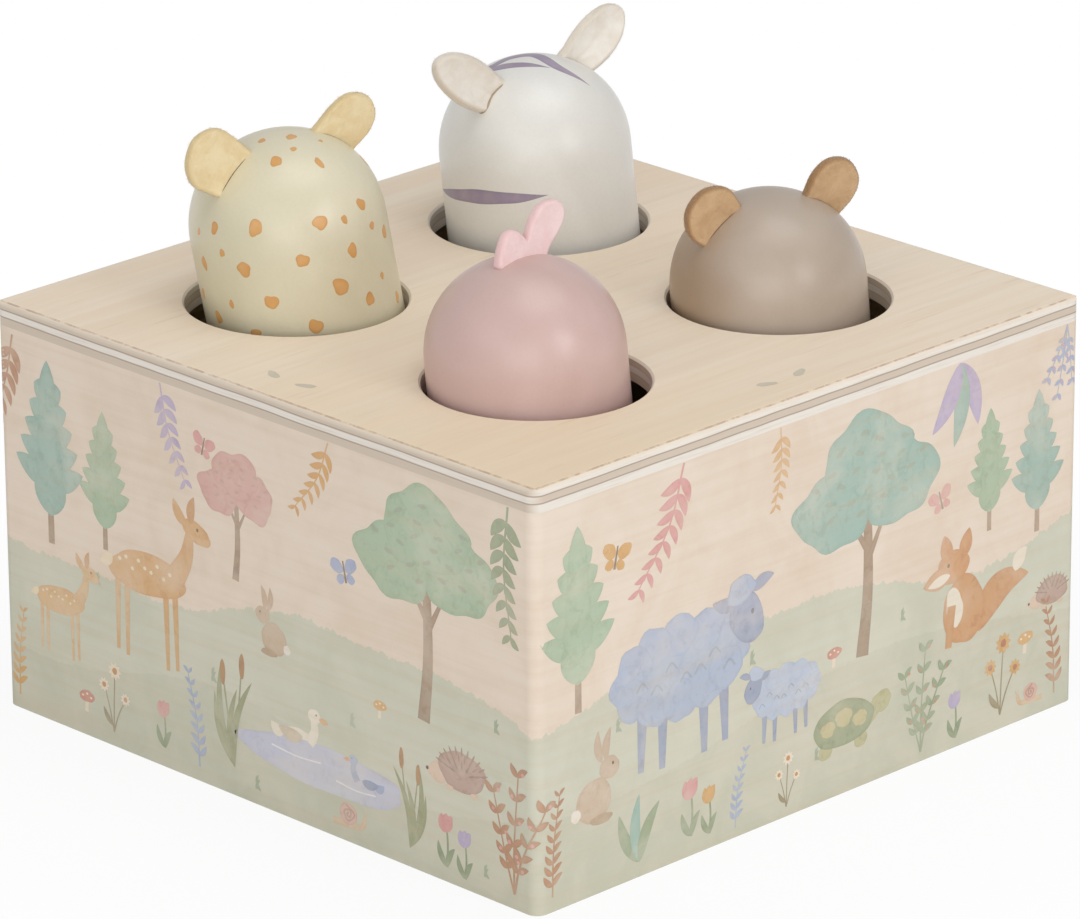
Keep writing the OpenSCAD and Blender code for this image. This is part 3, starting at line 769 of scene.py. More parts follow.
# %% [markdown]
# ## Felt ears
#
# The ears are cut from thick wool felt and glued into a saw slot in the head.
# A felt cut-out has flat faces, a soft round at its rim and a cut edge in which
# the fibres lie open, so it is duller there. We build it from its outline. On
# each face the outline shrinks towards a spine, which is a line down the middle
# of the ear, so that no face gets long and skewed, and round the rim it follows
# a half circle. A zebra ear is then bent round an upright cylinder, which cups
# it. Last, loose fibres stand on the surface, because without them felt looks
# like plastic.

# %% Felt cut-outs
def nearest_on(spine, points):
    """The point of a bent line that lies nearest to each of the points."""
    spine = np.asarray(spine, float)
    a, b = spine[:-1], spine[1:]
    along = ((points[:, None] - a) * (b - a)).sum(-1) / ((b - a) ** 2).sum(-1)
    feet = a + np.clip(along, 0, 1)[..., None] * (b - a)
    best = np.linalg.norm(points[:, None] - feet, axis=-1).argmin(1)
    return feet[np.arange(len(points)), best]


def evened(ring, reach=4):
    """Each point of a closed ring of points replaced by its neighbours' mean."""
    return sum(np.roll(ring, k, 0) for k in range(-reach, reach + 1)) / (2 * reach + 1)


def felt(outline, spine, thick=FELT_T, round_r=0.6, sway=0.10):
    """A felt cut-out. outline[j] is (across, along). Rows run from the front
    face's spine, over the rim, to the back face's spine."""
    outline = np.asarray(outline, float)
    core = evened(nearest_on(spine, outline))
    ahead = unit(np.roll(outline, -1, 0) - np.roll(outline, 1, 0))
    out = np.stack([ahead[:, 1], -ahead[:, 0]], 1)
    if ((outline - outline.mean(0)) * out).sum() < 0:
        out = -out
    half, inner = thick / 2, outline - round_r * out
    shares = [0.1, 0.35, 0.6, 0.8, 0.92, 0.98, 1.0]
    angles = np.radians([22, 45, 68, 90])
    rows = [core + share * (inner - core) for share in shares]
    rows += [inner + round_r * math.sin(a) * out for a in angles]
    depth = np.append(np.full(len(shares), half), half - round_r * (1 - np.cos(angles)))
    rim = np.append(np.zeros(len(shares) - 1), [0.15, 0.5, 0.9, 1.0, 1.0])
    yz = np.array(rows + rows[::-1])
    x = np.append(depth, -depth[::-1])[:, None]
    x = x + sway * np.sin(yz[..., 0] * 0.5 + 1) * np.sin(yz[..., 1] * 0.4)
    rings = np.concatenate([x[..., None], yz], -1)
    front, rear = (np.array([ring[:, 0].mean(), *core.mean(0)]) for ring in (rings[0], rings[-1]))
    return skin(rings, front, rear, rim=np.append(rim, rim[::-1])[:, None])


def round_ear_outline(r, stand, root, wobble=0.0, count=120):
    """A disc whose sides run on, straight, to the corners of its root. They leave
    it where they touch it, at atan(deep / half) + asin(r / way to the corner)
    from its top."""
    phi = once_round(count)
    disc = r * (1 + 0.015 * np.sin(3 * phi + wobble) + 0.008 * np.sin(7 * phi + 2 * wobble))
    s, c = np.sin(phi), np.cos(phi)
    deep, half = stand + SLOT_DEPTH, root / 2
    touch = math.atan2(deep, half) + math.asin(r / math.hypot(half, deep))
    past = np.clip(np.minimum(phi, 2 * np.pi - phi) - touch, 0, 1.3)
    reach = np.minimum(disc / np.cos(past), deep / np.maximum(-c, 1e-6))
    return evened(np.stack([reach * s, stand + reach * c], 1), 1)


def leaf_outline(length, wide, root, count=140):
    """A leaf on a root. Above its widest line it is an oval; below, its half
    width falls to the root's with the square of the distance."""
    phi = once_round(count)
    s, c = np.sin(phi), np.cos(phi)
    mid = 0.42 * length
    up = c >= 0
    along = np.where(up, mid + (length - mid) * c, mid + (mid + SLOT_DEPTH) * c)
    fall = np.clip((mid - along) / mid, 0, 1) ** 2
    half = np.where(up, wide / 2 * np.abs(s) ** 1.08, (wide / 2 - (wide - root) / 2 * fall)
                    * np.minimum(1, (np.abs(s) * 4) ** 0.8))
    return np.stack([np.sign(s) * half, along], 1)


def cupped(points, radius):
    """Bends points round an upright cylinder of that radius, hollow towards +x."""
    x, y, z = np.moveaxis(np.asarray(points, float), -1, 0)
    turn = y / radius
    return np.stack([radius - (radius - x) * np.cos(turn), (radius - x) * np.sin(turn), z], -1)


def about(axis, degrees):
    """The turn about x or z by an angle."""
    c, s = cos_sin(degrees)
    if axis == "x":
        return np.array([[1, 0, 0], [0, c, -s], [0, s, c]])
    return np.array([[c, -s, 0], [s, c, 0], [0, 0, 1]])


def ear_in_head(animal, side, pose, points):
    """From an ear's own frame, with z along the ear and y across it, to the
    peg's. pose is the angle of its root and the one at which it points, both
    from the peg's axis, its turn about that axis and its twist about its length."""
    angle, splay, turn, twist = pose
    p = np.asarray(points) @ about("z", twist).T @ about("x", -side * (splay - angle)).T
    p = p + (0, 0, float(dome_at(math.radians(angle))))
    return p @ about("x", -side * angle).T @ about("z", turn).T + dome_centre(animal)


def slot_shade_patch(animal, side, pose, wide, gap, curl, rows=7, columns=25):
    """The saw slot round the root of a cut-out, as a thin patch of painted shade on
    the head with rounded ends, larger than the felt by gap. curl is the radius
    of a cupped root."""
    centre = dome_centre(animal)
    y, x = np.meshgrid(np.linspace(-1, 1, columns) * (wide / 2 + gap),
                       np.linspace(-1, 1, rows) * (FELT_T / 2 + gap))
    x = x * (1 - 0.75 * np.abs(y / y.max()) ** 6)
    spread = np.stack([x, y, 0 * x], -1)
    spread = ear_in_head(animal, side, pose, cupped(spread, curl) if curl else spread)
    return placed(animal, skin(onto_peg(spread, centre, SLOT_SHADE_LIFT), wrap=False, away_from=centre))


print("leaf outline reaches", np.round(leaf_outline(18.4, 11, 8).max(0), 1))

# %% Loose fibres on the felt
# A fibre is a three-sided spindle: a point, two rings of three, and a point.
FIBRE_TRIS = np.array([[0, 2, 1], [0, 3, 2], [0, 1, 3], [7, 4, 5], [7, 5, 6], [7, 6, 4]])
FIBRE_QUADS = np.array([[1, 2, 5, 4], [2, 3, 6, 5], [3, 1, 4, 6]])


def fibres(body, count, seed, thick=0.022, long=0.55):
    """Fine curved hairs over a felt cut-out. Each starts at a random point of its
    mesh and follows an arc that leans over."""
    wild = np.random.default_rng(seed)
    points, quads = body["points"], body["quads"]
    a, b, c, d = (points[quads[:, k]] for k in range(4))
    normal = np.cross(c - a, d - b)
    area = np.linalg.norm(normal, axis=1)
    weight = area * (1 + 2.5 * body["rim"][quads].mean(1))
    pick = wild.choice(len(quads), count, p=weight / weight.sum())
    u, v = wild.random((2, count, 1))
    root = (a[pick] * (1 - u) * (1 - v) + b[pick] * u * (1 - v) + c[pick] * u * v
            + d[pick] * (1 - u) * v)
    out = unit(normal[pick])
    stray = unit(wild.normal(size=(count, 3)))
    stray = unit(stray - (stray * out).sum(1, keepdims=True) * out * 0.7)
    size = long * wild.uniform(0.35, 1.0, (count, 1))
    t = np.linspace(0, 1, 4)[None, :, None]
    line = ((root - out * 0.05)[:, None] + (out * size * 0.45)[:, None] * np.sin(t * 2.2)
            + (stray * size)[:, None] * t**1.3)
    ring = np.array([[1, 0, 0], [-0.5, 0.87, 0], [-0.5, -0.87, 0]]) * thick
    ring = ring @ np.linalg.qr(wild.normal(size=(3, 3)))[0]
    rings = (line[:, 1:3, None] + ring).reshape(count, 6, 3)
    spindles = np.concatenate([line[:, :1], rings, line[:, 3:]], 1)
    first = (np.arange(count) * 8)[:, None, None]
    return {"points": spindles.reshape(-1, 3), "quads": (FIBRE_QUADS + first).reshape(-1, 4),
            "tris": (FIBRE_TRIS + first).reshape(-1, 3), "rim": np.zeros(count * 8),
            "tint": np.ones((count * 8, 4)), "cover": np.zeros(count * 8)}


def felt_finish(name, light, dark, edge):
    """Felt: cloudy colour, matted fibres as fine bump, a dull cut edge, and a
    soft sheen where fibres stand against the light."""
    f = Finish(name)
    clouds = f.noise(260, 4, 0.65, 0.4)
    matted = f.noise(1700, 4, 0.75, 1.5)
    lumps = f.noise(480, 2, 0.5)
    colour = f.shade(clouds, 0.3, 0.7, light, dark)
    colour = f.mix(f.times(f.read("rim"), 0.7), colour, edge)
    colour = f.tinge(colour, light, matted, 0.55, 0.75, 0.35)
    bump = f.bump(matted, 0.16, 0.8, Normal=f.bump(lumps, 0.22, 0.5))
    return f.done(colour, 0.95, Normal=bump, Sheen_Weight=0.35, Sheen_Roughness=0.5,
                  Specular_IOR_Level=0.2)


FELTS = {
    "yellow": felt_finish("yellow_felt", "f3e1b8", "ead3a2", "dec592"),
    "cream": felt_finish("cream_felt", "f4eee4", "ebe2d5", "e0d4c2"),
    "tan": felt_finish("tan_felt", "d3b188", "c49f75", "8f663f"),
    "pink": felt_finish("pink_felt", "f8dedc", "f3d2d0", "efc8c5"),
}
# Each animal's felt, and the width of its ears' roots.
EAR_FELT = {"leopard": ("yellow", 10.2), "bear": ("tan", 9.4), "zebra": ("cream", 8.0)}
# Each ear: its pose, then a round ear's radius and stand, or a leaf's length and width.
EARS = {
    ("leopard", LEFT): ((36, 44, -1, -7), 6.2, 5.5),
    ("leopard", RIGHT): ((42, 59, -17, 9), 5.2, 5.0),
    ("bear", LEFT): ((36, 41, -5, -9), 6.1, 2.4),
    ("bear", RIGHT): ((39, 39, -27, 20), 6.0, 3.5),
    ("zebra", LEFT): ((38, 53, 4, -5), 17.8, 9.7),
    ("zebra", RIGHT): ((37, 58, -8, -8), 14.8, 9.8),
}

# %% Cut and place the ears
EAR_FIBRES, CREST_FIBRES = 1100, 1000


def felt_piece(name, cut, fibre_count, seed, colour, animal, side, pose, node):
    """Puts a cut-out in its head, with its fibres."""
    cut["points"] = ear_in_head(animal, side, pose, cut["points"])
    cut = placed(animal, cut)
    make(name, [cut, fibres(cut, fibre_count, seed)], FELTS[colour], animal, node)


for i, ((animal, side), (pose, size, other)) in enumerate(EARS.items()):
    colour, root = EAR_FELT[animal]
    if animal == "zebra":
        ear = felt(leaf_outline(size, other, root), [(0, -1.5), (0, size - 3.5)])
        # The cup is tighter at the root, where the felt is pinched in its slot.
        tight = 10.0 * (0.65 + 0.35 * np.clip((ear["points"][:, 2] + 4) / 14, 0, 1))
        ear["points"] = cupped(ear["points"], tight)
    else:
        ear = felt(round_ear_outline(size, other, root, 1.3 * i), [(0, -1.5), (0, other + 0.2)])
    hand = "left" if side == LEFT else "right"
    felt_piece(f"felt_ear_{animal}_{hand}", ear, EAR_FIBRES, 20 + i, colour, animal, side, pose,
               f"{animal}_ear_{hand}")

# %% [markdown]
# ## The bird's crest
#
# The crest is one cut-out with two lobes, a small one that points to the left
# and a tall one that leans to the right, with a sharp notch between them. Its
# foot stands in a slot over the top of the head.

# %% Crest of the bird
CREST = [(-2.2, -2.6), (-4.4, -1.6), (-5.5, -0.3), (-4.9, 1.7), (-3.8, 3.9), (-2.6, 5.4),
         (-1.2, 5.8), (0.3, 5.1), (1.4, 4.1), (2.2, 3.1), (2.5, 3.0), (2.9, 3.8), (4.2, 6.0),
         (5.8, 7.7), (7.4, 8.6), (9.1, 8.8), (10.8, 8.5), (12.2, 7.5), (12.8, 5.8), (12.2, 3.9),
         (11.0, 2.4), (9.6, 1.1), (8.1, -0.2), (7.0, -1.8), (5.4, -3.2), (2.0, -3.6)]
crest = felt(smooth_path(CREST, 180, closed=True), [(2.4, -0.6), (2.8, -0.6)], 2.1, 0.7)
felt_piece("felt_crest", crest, CREST_FIBRES, 40, "pink", "bird", RIGHT, (0, 0, 0, 0), "bird_crest")

# %% Saw slots, with painted shade in their gaps
def slot_shade_finish(name, light, dark):
    f = Finish(name)
    return f.done(f.mix(f.noise(900, 2, 0.6), light, dark), 0.8)


# Each slot shows as a thin patch of painted shade round the felt's root, wider and paler round the
# zebra's pinched ears.
# finish of the painted shade, gap round the felt and radius of the cupped root
WIDE_SLOT_SHADE = slot_shade_finish("pale_slot_shade", "bfae98", "a08d76"), 0.5, 7.5
FINE_SLOT_SHADE = slot_shade_finish("saw_slot_shade", "8a7257", "5f4c39"), 0.22, None
for (animal, side), (pose, *_) in EARS.items():
    finish, gap, curl = WIDE_SLOT_SHADE if animal == "zebra" else FINE_SLOT_SHADE
    shade_patch = slot_shade_patch(animal, side, pose, EAR_FELT[animal][1], gap, curl)
    make(f"slot_{animal}_{side}", [shade_patch], finish, animal)

# %% [markdown]
# ## Coil springs
#
# Each peg stands on a coil spring. Its centre line leaves the base upright and
# meets the leaning peg square on, so it is an S: the cubic with those two ends
# and those two directions. The wire winds round that line, and at each end it
# turns upright through a small bend.

# %% Wind the springs
def centre_line(animal):
    """The cubic from the base to the peg's bore: its place and its direction as
    functions of u from 0 to 1, its ends and how far apart they are."""
    turn, origin = peg_frame(animal)
    start = np.append(np.multiply(PEGS[animal][0], PITCH / 2), BASE_T)
    end = origin + BORE_TOP * turn[:, 2]
    length = np.linalg.norm(end - start)
    leave, arrive = length * np.array([0, 0, 1.0]), length * turn[:, 2]

    def at(u):
        return ((2 * u**3 - 3 * u**2 + 1) * start + (u**3 - 2 * u**2 + u) * leave
                + (3 * u**2 - 2 * u**3) * end + (u**3 - u**2) * arrive)

    def way(u):
        return unit(6 * (u**2 - u) * (start - end) + (3 * u**2 - 4 * u + 1) * leave
                    + (3 * u**2 - 2 * u) * arrive)

    return at, way, start, end, length


def wound_wire(animal, per_curl=40, sides=14):
    """A circle of the wire's radius carried along the wire's path: straight ends,
    quarter bends and an even helix between them. Also its lower and upper end."""
    at, way, start, end, length = centre_line(animal)
    # The route is (angle round the centre line, height along it).
    bend = np.radians(np.linspace(0, 82, 8))
    first = np.stack([END_BEND * (1 - np.cos(bend)) / COIL_R,
                      2 * WIRE_R + END_BEND * np.sin(bend)], 1)
    finish = np.array([2 * np.pi * CURLS, length])
    last = finish - first[::-1]
    share = np.linspace(0, 1, per_curl * CURLS)[1:-1, None]
    route = np.vstack([[0, 0], first, first[-1] + share * (last[0] - first[-1]), last, finish])
    angle, u = route[:, :1], route[:, 1:] / length
    ahead = way(u)
    x = unit([1, 0, 0] - ahead[:, :1] * ahead)
    out = np.cos(angle) * x + np.sin(angle) * np.cross(ahead, x)
    path = at(u) + COIL_R * out
    along = unit(np.gradient(path, axis=0))
    along[:2], along[-2:] = unit(path[1] - path[0]), unit(path[-1] - path[-2])
    e = unit(out - (out * along).sum(1, keepdims=True) * along)
    g = np.cross(along, e)
    phi = once_round(sides)[None, :, None]
    rings = path[:, None] + WIRE_R * (np.cos(phi) * e[:, None] + np.sin(phi) * g[:, None])
    return skin(rings, path[0], path[-1]), start, end


for animal in PEGS:
    wire, start, end = wound_wire(animal)
    coil = make(f"{animal}_spring", [wire], spring_steel, None, "spring_" + animal)
    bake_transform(coil)

# %% [markdown]
# ## Printed plants and animals
#
# The walls' print is a gentle meadow. Its motifs are drawn from three simple
# patches: a blob, which is an oval with a slightly wavy rim, a leaf, and a
# stroke, which is a ribbon along a smooth path. Each carries its own colour and
# how much it covers, so the one wall finish can mix it with the wood grain
# beneath. They are laid like paint, each about a micron in front of the one
# before, because two surfaces at the same depth would show as black specks.

# %% Patches of print
# How far a patch lies in front of its wall: the first, and more for each layer
# and motif. On a wall the print stays between two heights.
PRINT_LIFT, LAYER_LIFT, MOTIF_LIFT = 0.010, 0.0012, 0.0004
LOWEST, HIGHEST = 0.3, HEIGHT - TOP_T - 0.2


def on_wall(wall, flat, lift):
    """From (along, up) on a wall, along running to the right as one faces it, to
    the toy's frame. What reaches past the wall's end runs on round the corner,
    along a quarter circle, and onto the next wall. On the top panel the two are
    x and y."""
    s, z = flat[..., 0], flat[..., 1]
    if wall == "top":
        return np.stack([s, z, np.full_like(s, HEIGHT + lift)], -1)
    straight = SIDE / 2 - CORNER_R
    past = np.abs(s) - straight
    turn = np.clip(past / CORNER_R, 0, np.pi / 2)
    rest = np.clip(past - CORNER_R * np.pi / 2, 0, None)
    far = straight + (CORNER_R + lift) * np.cos(turn) - rest
    s = np.sign(s) * (np.minimum(np.abs(s), straight) + (CORNER_R + lift) * np.sin(turn))
    x, y = {"front": (s, -far), "right": (far, s), "back": (-s, far), "left": (-far, -s)}[wall]
    return np.stack([x, y, np.clip(z, LOWEST, HIGHEST)], -1)


class Print:
    """The patches on one wall. A motif is drawn in a frame of its own, which begin
    sets: its foot, its size, way = -1 to mirror it, and a turn in degrees."""

    def __init__(self, wall):
        self.wall, self.skins, self.motifs = wall, [], 0
        self.wild = np.random.default_rng(len(wall))

    def begin(self, s, z, size, way=1, turn=0.0):
        c, n = cos_sin(turn)
        self.foot, self.frame = np.array([s, z]), size * np.array([[way * c, n * way], [-n, c]])
        self.layer, self.motifs = 0, self.motifs + 1

    def put(self, flat, tint, cover, rim, middle=None, wrap=True):
        """Lays rows of points on the wall, closed by a middle if there is one."""
        lift = PRINT_LIFT + LAYER_LIFT * self.layer + MOTIF_LIFT * (self.motifs % 3)
        self.layer += 1

        def laid(points):
            return on_wall(self.wall, self.foot + np.array(points) @ self.frame, lift)

        pole = None if middle is None else laid(middle)
        self.skins.append(skin(laid(flat), pole, wrap=wrap, rim=rim, tint=rgb(tint), cover=cover))

    def blob(self, x, y, wide, tall, tint, tilt=0.0, cover=0.88, wave=0.05, count=40):
        """An oval whose radius carries a few waves."""
        waves = [(k, wave * share) for k, share in ((3, 0.8), (5, 0.6), (8, 0.35))]
        ring = wavy_oval(self.wild, waves, wide, tall, tilt, count)
        grow = np.array([0.5, 0.86, 0.96, 1.0])[:, None, None]
        rim = np.array([0.0, 0.0, 0.5, 1.0])[:, None]
        self.put(np.array([x, y]) + grow * ring, tint, cover, rim, (x, y))

    def eye(self, x, y, wide, tall, tint):
        self.blob(x, y, wide, tall, tint, 0, 0.95, 0, 10)

    def ribbon(self, line, half, tint, cover):
        """Five rows along a line, half is its half width at each point."""
        ahead = unit(np.gradient(line, axis=0))
        side = np.stack([-ahead[:, 1], ahead[:, 0]], 1)
        share = np.array([-1, -0.8, 0, 0.8, 1])
        grid = line[:, None] + (half[:, None] * side)[:, None] * share[None, :, None]
        self.put(grid, tint, cover, share**4, wrap=False)

    def stroke(self, points, wide, tint, taper=0.5, cover=0.9, count=24):
        """A ribbon along a smooth path, thinner towards its end by taper."""
        half = wide / 2 * (1 - taper * np.linspace(0, 0.8, count))
        self.ribbon(smooth_path(points, count), half, tint, cover)

    def leaf(self, x, y, long, wide, angle, tint, cover=0.88, curl=0.10, count=14):
        """A pointed leaf from (x, y): its half width is wide / 2 sin(pi t^0.85)^0.8,
        and it bends to one side by curl of its length."""
        t = np.linspace(0, 1, count)
        c, s = cos_sin(angle)
        bend = (curl * long * np.sin(np.pi * t))[:, None] * np.array([-s, c])
        line = np.array([x, y]) + long * t[:, None] * np.array([c, s]) + bend
        self.ribbon(line, wide / 2 * np.sin(np.pi * t**0.85).clip(0) ** 0.8, tint, cover)


# %% Plants of the meadow
# Each draws itself into a print p, standing at (0, 0) and about 1 tall.
def oak(p, tint="a3bea4", dab="7f9f88", trunk="a88e77"):
    """A trunk with two boughs, a crown of three blobs, and small dabs on it."""
    p.stroke([(-0.02, 0), (0.01, 0.3), (0, 0.72)], 0.07, trunk)
    p.stroke([(0, 0.38), (0.12, 0.6)], 0.035, trunk, 0.8)
    p.stroke([(0, 0.45), (-0.14, 0.66)], 0.032, trunk, 0.8)
    for x, y, w, h in ((-0.18, 0.66, 0.44, 0.34), (0.19, 0.69, 0.42, 0.36), (0.0, 0.83, 0.5, 0.36)):
        p.blob(x, y, w, h, tint, 0, 0.9, 0.09, 56)
    for i in range(22):
        a, r = i * 2.4, 0.30 * math.sqrt((i + 0.5) / 22)
        x, y = 1.1 * r * math.cos(a), 0.76 + 0.62 * r * math.sin(a)
        p.blob(x, y, 0.05, 0.02, dab, 25 * math.sin(i), 0.7, 0.1, 14)


def fir(p, tint="9db8ac", trunk="a88e77"):
    """A thin trunk and five tiers that get smaller."""
    p.stroke([(0, 0), (0, 0.4)], 0.05, trunk, 0.2)
    for i in range(5):
        for angle in (156, 24):
            p.leaf(0, 0.34 + 0.13 * i, 0.30 - 0.045 * i, 0.14, angle, tint, 0.9, 0.0)
        p.leaf(0, 0.16 + 0.14 * i, 0.34, 0.26 - 0.03 * i, 90, tint, 0.9, 0.0)


def sprig(p, tint, lean=0.1, pairs=7, long=0.17, wide=0.065):
    """A stem with pairs of leaves that get smaller towards its tip."""
    stem = [(0, 0), (lean * 0.2, 0.5), (lean, 1)]
    p.stroke(stem, 0.022, tint, 0.6)
    for i, (x, y) in enumerate(smooth_path(stem, pairs + 2)[1:]):
        size = 1.0 - 0.45 * i / pairs
        for tilt in (-46, 46):
            p.leaf(x, y, long * size, wide * size, 90 - 40 * lean + tilt, tint)


def thicket(p, tint, berry):
    """Three bending stems with loose leaves, and berries at their tips."""
    for middle, lean, tall in ((-0.10, -0.22, 0.8), (0.0, 0.05, 1.0), (0.08, 0.3, 0.74)):
        stem = smooth_path([(0, 0), (middle, tall * 0.4), (lean, tall)], 7)
        p.stroke(stem, 0.022, tint, 0.6)
        for i, (x, y) in enumerate(stem[2:]):
            for tilt in (-52, 40):
                p.leaf(x, y, 0.13, 0.06, 90 + tilt - 40 * lean, tint)
            p.blob(x + 0.05 * (-1) ** i, y + 0.03, 0.035, 0.035, berry, 0, 0.9, 0.05, 12)


def fan(p, tints, long=1.0, wide=0.2):
    """Broad leaves that spread from one point."""
    for i, tint in enumerate(tints):
        p.leaf(0, 0, long * (1 - 0.12 * abs(i - 1)), wide, 90 + 26 * (1 - i), tint, 0.85, 0.08, 20)


def tulip(p, tint, stem="8a9b78"):
    """A stem, two long leaves and a cup of three petals."""
    p.stroke([(0, 0), (0.02, 0.4), (0, 0.7)], 0.05, stem, 0.2)
    for angle, long in ((116, 0.5), (64, 0.44)):
        p.leaf(0, 0, long, 0.14, angle, stem)
    for angle in (112, 68, 90):
        p.leaf(0, 0.64, 0.36, 0.22, angle, tint)


def daisy(p, tint, heart="c98f5a", stem="9a8a68"):
    """Three stems with heads of nine petals."""
    for x, y, size in ((-0.2, 0.72, 0.8), (0.05, 1.0, 1.0), (0.28, 0.6, 0.75)):
        p.stroke([(0, 0), (x * 0.4, y * 0.5), (x, y)], 0.025, stem, 0.3)
        for k in range(9):
            p.leaf(x, y, 0.15 * size, 0.075 * size, 40 * k, tint, 0.9, 0.0, 8)
        p.blob(x, y, 0.11 * size, 0.11 * size, heart, 0, 0.95, 0.05, 14)
    p.leaf(0, 0.1, 0.34, 0.09, 130, stem)


def reeds(p, tint="9a9f78", head="b5875c"):
    """Four blades and two long brown heads."""
    for angle, long in ((74, 0.9), (86, 0.75), (98, 1.0), (110, 0.7)):
        p.leaf(0, 0, long, 0.08, angle, tint)
    for x, y in ((-0.13, 0.86), (0.12, 0.98)):
        p.stroke([(0, 0), (x, y)], 0.02, tint, 0.2)
        p.blob(x, y, 0.07, 0.24, head, -8 * x, 0.92, 0.03, 20)


def toadstool(p, tint):
    """A pale stalk and a cap with light dots."""
    p.stroke([(0, 0), (0.04, 0.6)], 0.22, "ecdcc6", 0.2)
    p.blob(0.04, 0.66, 0.9, 0.5, tint, 4, 0.92, 0.04)
    for x, y in ((-0.2, 0.66), (0.05, 0.77), (0.28, 0.64)):
        p.blob(x, y, 0.12, 0.09, "f5e9da", 0, 0.9)


def tuft(p, tint="97a98e"):
    """A few blades of grass."""
    for x, angle, long in ((0, 62, 0.8), (0.15, 84, 1.0), (0.3, 104, 0.95), (0.45, 126, 0.75)):
        p.leaf(x, 0, long, 0.2, angle, tint, 0.75, 0.1, 8)


# %% Animals of the meadow
def butterfly(p, tint):
    """Four wings and a body."""
    for x, y, w, h, tilt in ((-0.42, 0.28, 0.8, 0.6, -35), (0.42, 0.28, 0.8, 0.6, 35),
                             (-0.3, -0.28, 0.5, 0.42, 35), (0.3, -0.28, 0.5, 0.42, -35)):
        p.blob(x, y, w, h, tint, tilt, 0.88, 0.05, 24)
    p.stroke([(0, -0.45), (0, 0.5)], 0.13, "8a7460", 0.5, count=8)


def legs(p, places, tall, wide, tint):
    """Straight legs that taper down to their feet."""
    for x, top in places:
        p.stroke([(x, top), (x * 1.04, top - tall)], wide, tint, 0.55, count=8)


def sheep(p, tint="aebbd3", dark="8e9ebd", face="9aa5c0"):
    """Fleece of many blobs over an oval, a long face, ears and four legs."""
    legs(p, ((-0.26, 0.3), (-0.12, 0.28), (0.16, 0.28), (0.30, 0.3)), 0.3, 0.07, face)
    p.blob(0, 0.47, 0.84, 0.46, tint, 0, 0.92, 0.03, 60)
    for k in range(12):
        c, s = cos_sin(30 * k)
        p.blob(0.36 * c, 0.47 + 0.17 * s, 0.24, 0.22, tint, 0, 0.92, 0.06, 24)
    for k in range(7):
        x, y = -0.3 + 0.1 * k, 0.42 + 0.05 * math.sin(4.0 * k)
        p.stroke([(x, y), (x + 0.04, y + 0.04), (x + 0.08, y)], 0.012, dark, 0.2, 0.7, 8)
    p.blob(0.46, 0.60, 0.22, 0.30, face, 28, 0.95, 0.03)
    p.leaf(0.40, 0.70, 0.18, 0.08, 170, face)
    p.leaf(0.50, 0.72, 0.16, 0.07, 20, face)
    p.blob(0.42, 0.75, 0.2, 0.14, tint, 20, 0.95, 0.08, 24)
    p.eye(0.50, 0.62, 0.022, 0.03, "5f6478")


def doe(p, tint="d9ab74", light="f0dfc0"):
    """A slim body on long legs, a neck, a small head with ears, and light dots."""
    legs(p, ((-0.26, 0.48), (-0.18, 0.46), (0.16, 0.46), (0.24, 0.48)), 0.47, 0.05, tint)
    p.blob(0, 0.55, 0.68, 0.27, tint, 4, 0.94, 0.03, 48)
    p.stroke([(0.22, 0.56), (0.34, 0.74), (0.38, 0.9)], 0.17, tint, 0.75)
    p.blob(0.44, 0.93, 0.25, 0.13, tint, -18, 0.95, 0.03)
    p.leaf(0.36, 0.95, 0.19, 0.075, 128, tint)
    p.leaf(0.40, 0.97, 0.18, 0.07, 82, "cf9e6c")
    p.leaf(-0.31, 0.6, 0.13, 0.08, 215, light)
    for k in range(9):
        y = 0.59 + 0.035 * math.sin(2.4 * k)
        p.blob(-0.24 + 0.055 * k, y, 0.03, 0.026, light, 0, 0.85, 0.05, 12)
    p.eye(0.45, 0.95, 0.02, 0.024, "6e5541")


def fox(p, tint="d29b6b", light="f3e6d3"):
    """Sitting: a pear-shaped body, a bushy tail with a light tip, a pointed head."""
    p.leaf(-0.16, 0.06, 0.62, 0.26, 150, tint, 0.94, -0.22, 24)
    p.leaf(-0.55, 0.42, 0.2, 0.13, 128, light, 0.9, -0.1)
    p.blob(0, 0.28, 0.44, 0.54, tint, -8, 0.94, 0.03, 48)
    p.blob(0.1, 0.32, 0.17, 0.32, light, -10, 0.85, 0.04)
    p.stroke([(0.13, 0.34), (0.16, 0.02)], 0.09, tint, 0.3)
    p.blob(0.12, 0.64, 0.34, 0.26, tint, 0, 0.95, 0.03)
    p.leaf(0.14, 0.60, 0.30, 0.16, -8, tint, 0.95, 0.0)
    p.leaf(0.15, 0.585, 0.24, 0.08, -10, light, 0.9, 0.0)
    for x, angle in ((0.02, 108), (0.17, 78)):
        p.leaf(x, 0.68, 0.23, 0.13, angle, tint, 0.95, 0.0)
    p.eye(0.17, 0.66, 0.028, 0.035, "5f4a3a")


def hedgehog(p, tint="bfa094", face="e3c9b4", spine="a38274"):
    """A round back with rows of short spines, and a pointed face."""
    p.leaf(0.14, 0.22, 0.42, 0.30, -8, face, 0.94, 0.0, 16)
    p.blob(-0.08, 0.30, 0.84, 0.54, tint, 0, 0.94, 0.04, 56)
    for row, r in enumerate((0.9, 0.6, 0.3)):
        for k in range(11 - 3 * row):
            angle = 20 + (140 / (10 - 3 * row)) * k
            c, s = cos_sin(angle)
            p.leaf(-0.08 + 0.40 * r * c, 0.24 + 0.30 * r * s, 0.14, 0.03, angle, spine, 0.85,
                   0.0, 6)
    for x in (-0.3, 0.14):
        p.blob(x, 0.04, 0.14, 0.07, face, 0, 0.9)
    p.blob(0.54, 0.19, 0.05, 0.05, "6b5346", 0, 0.95, 0, 12)


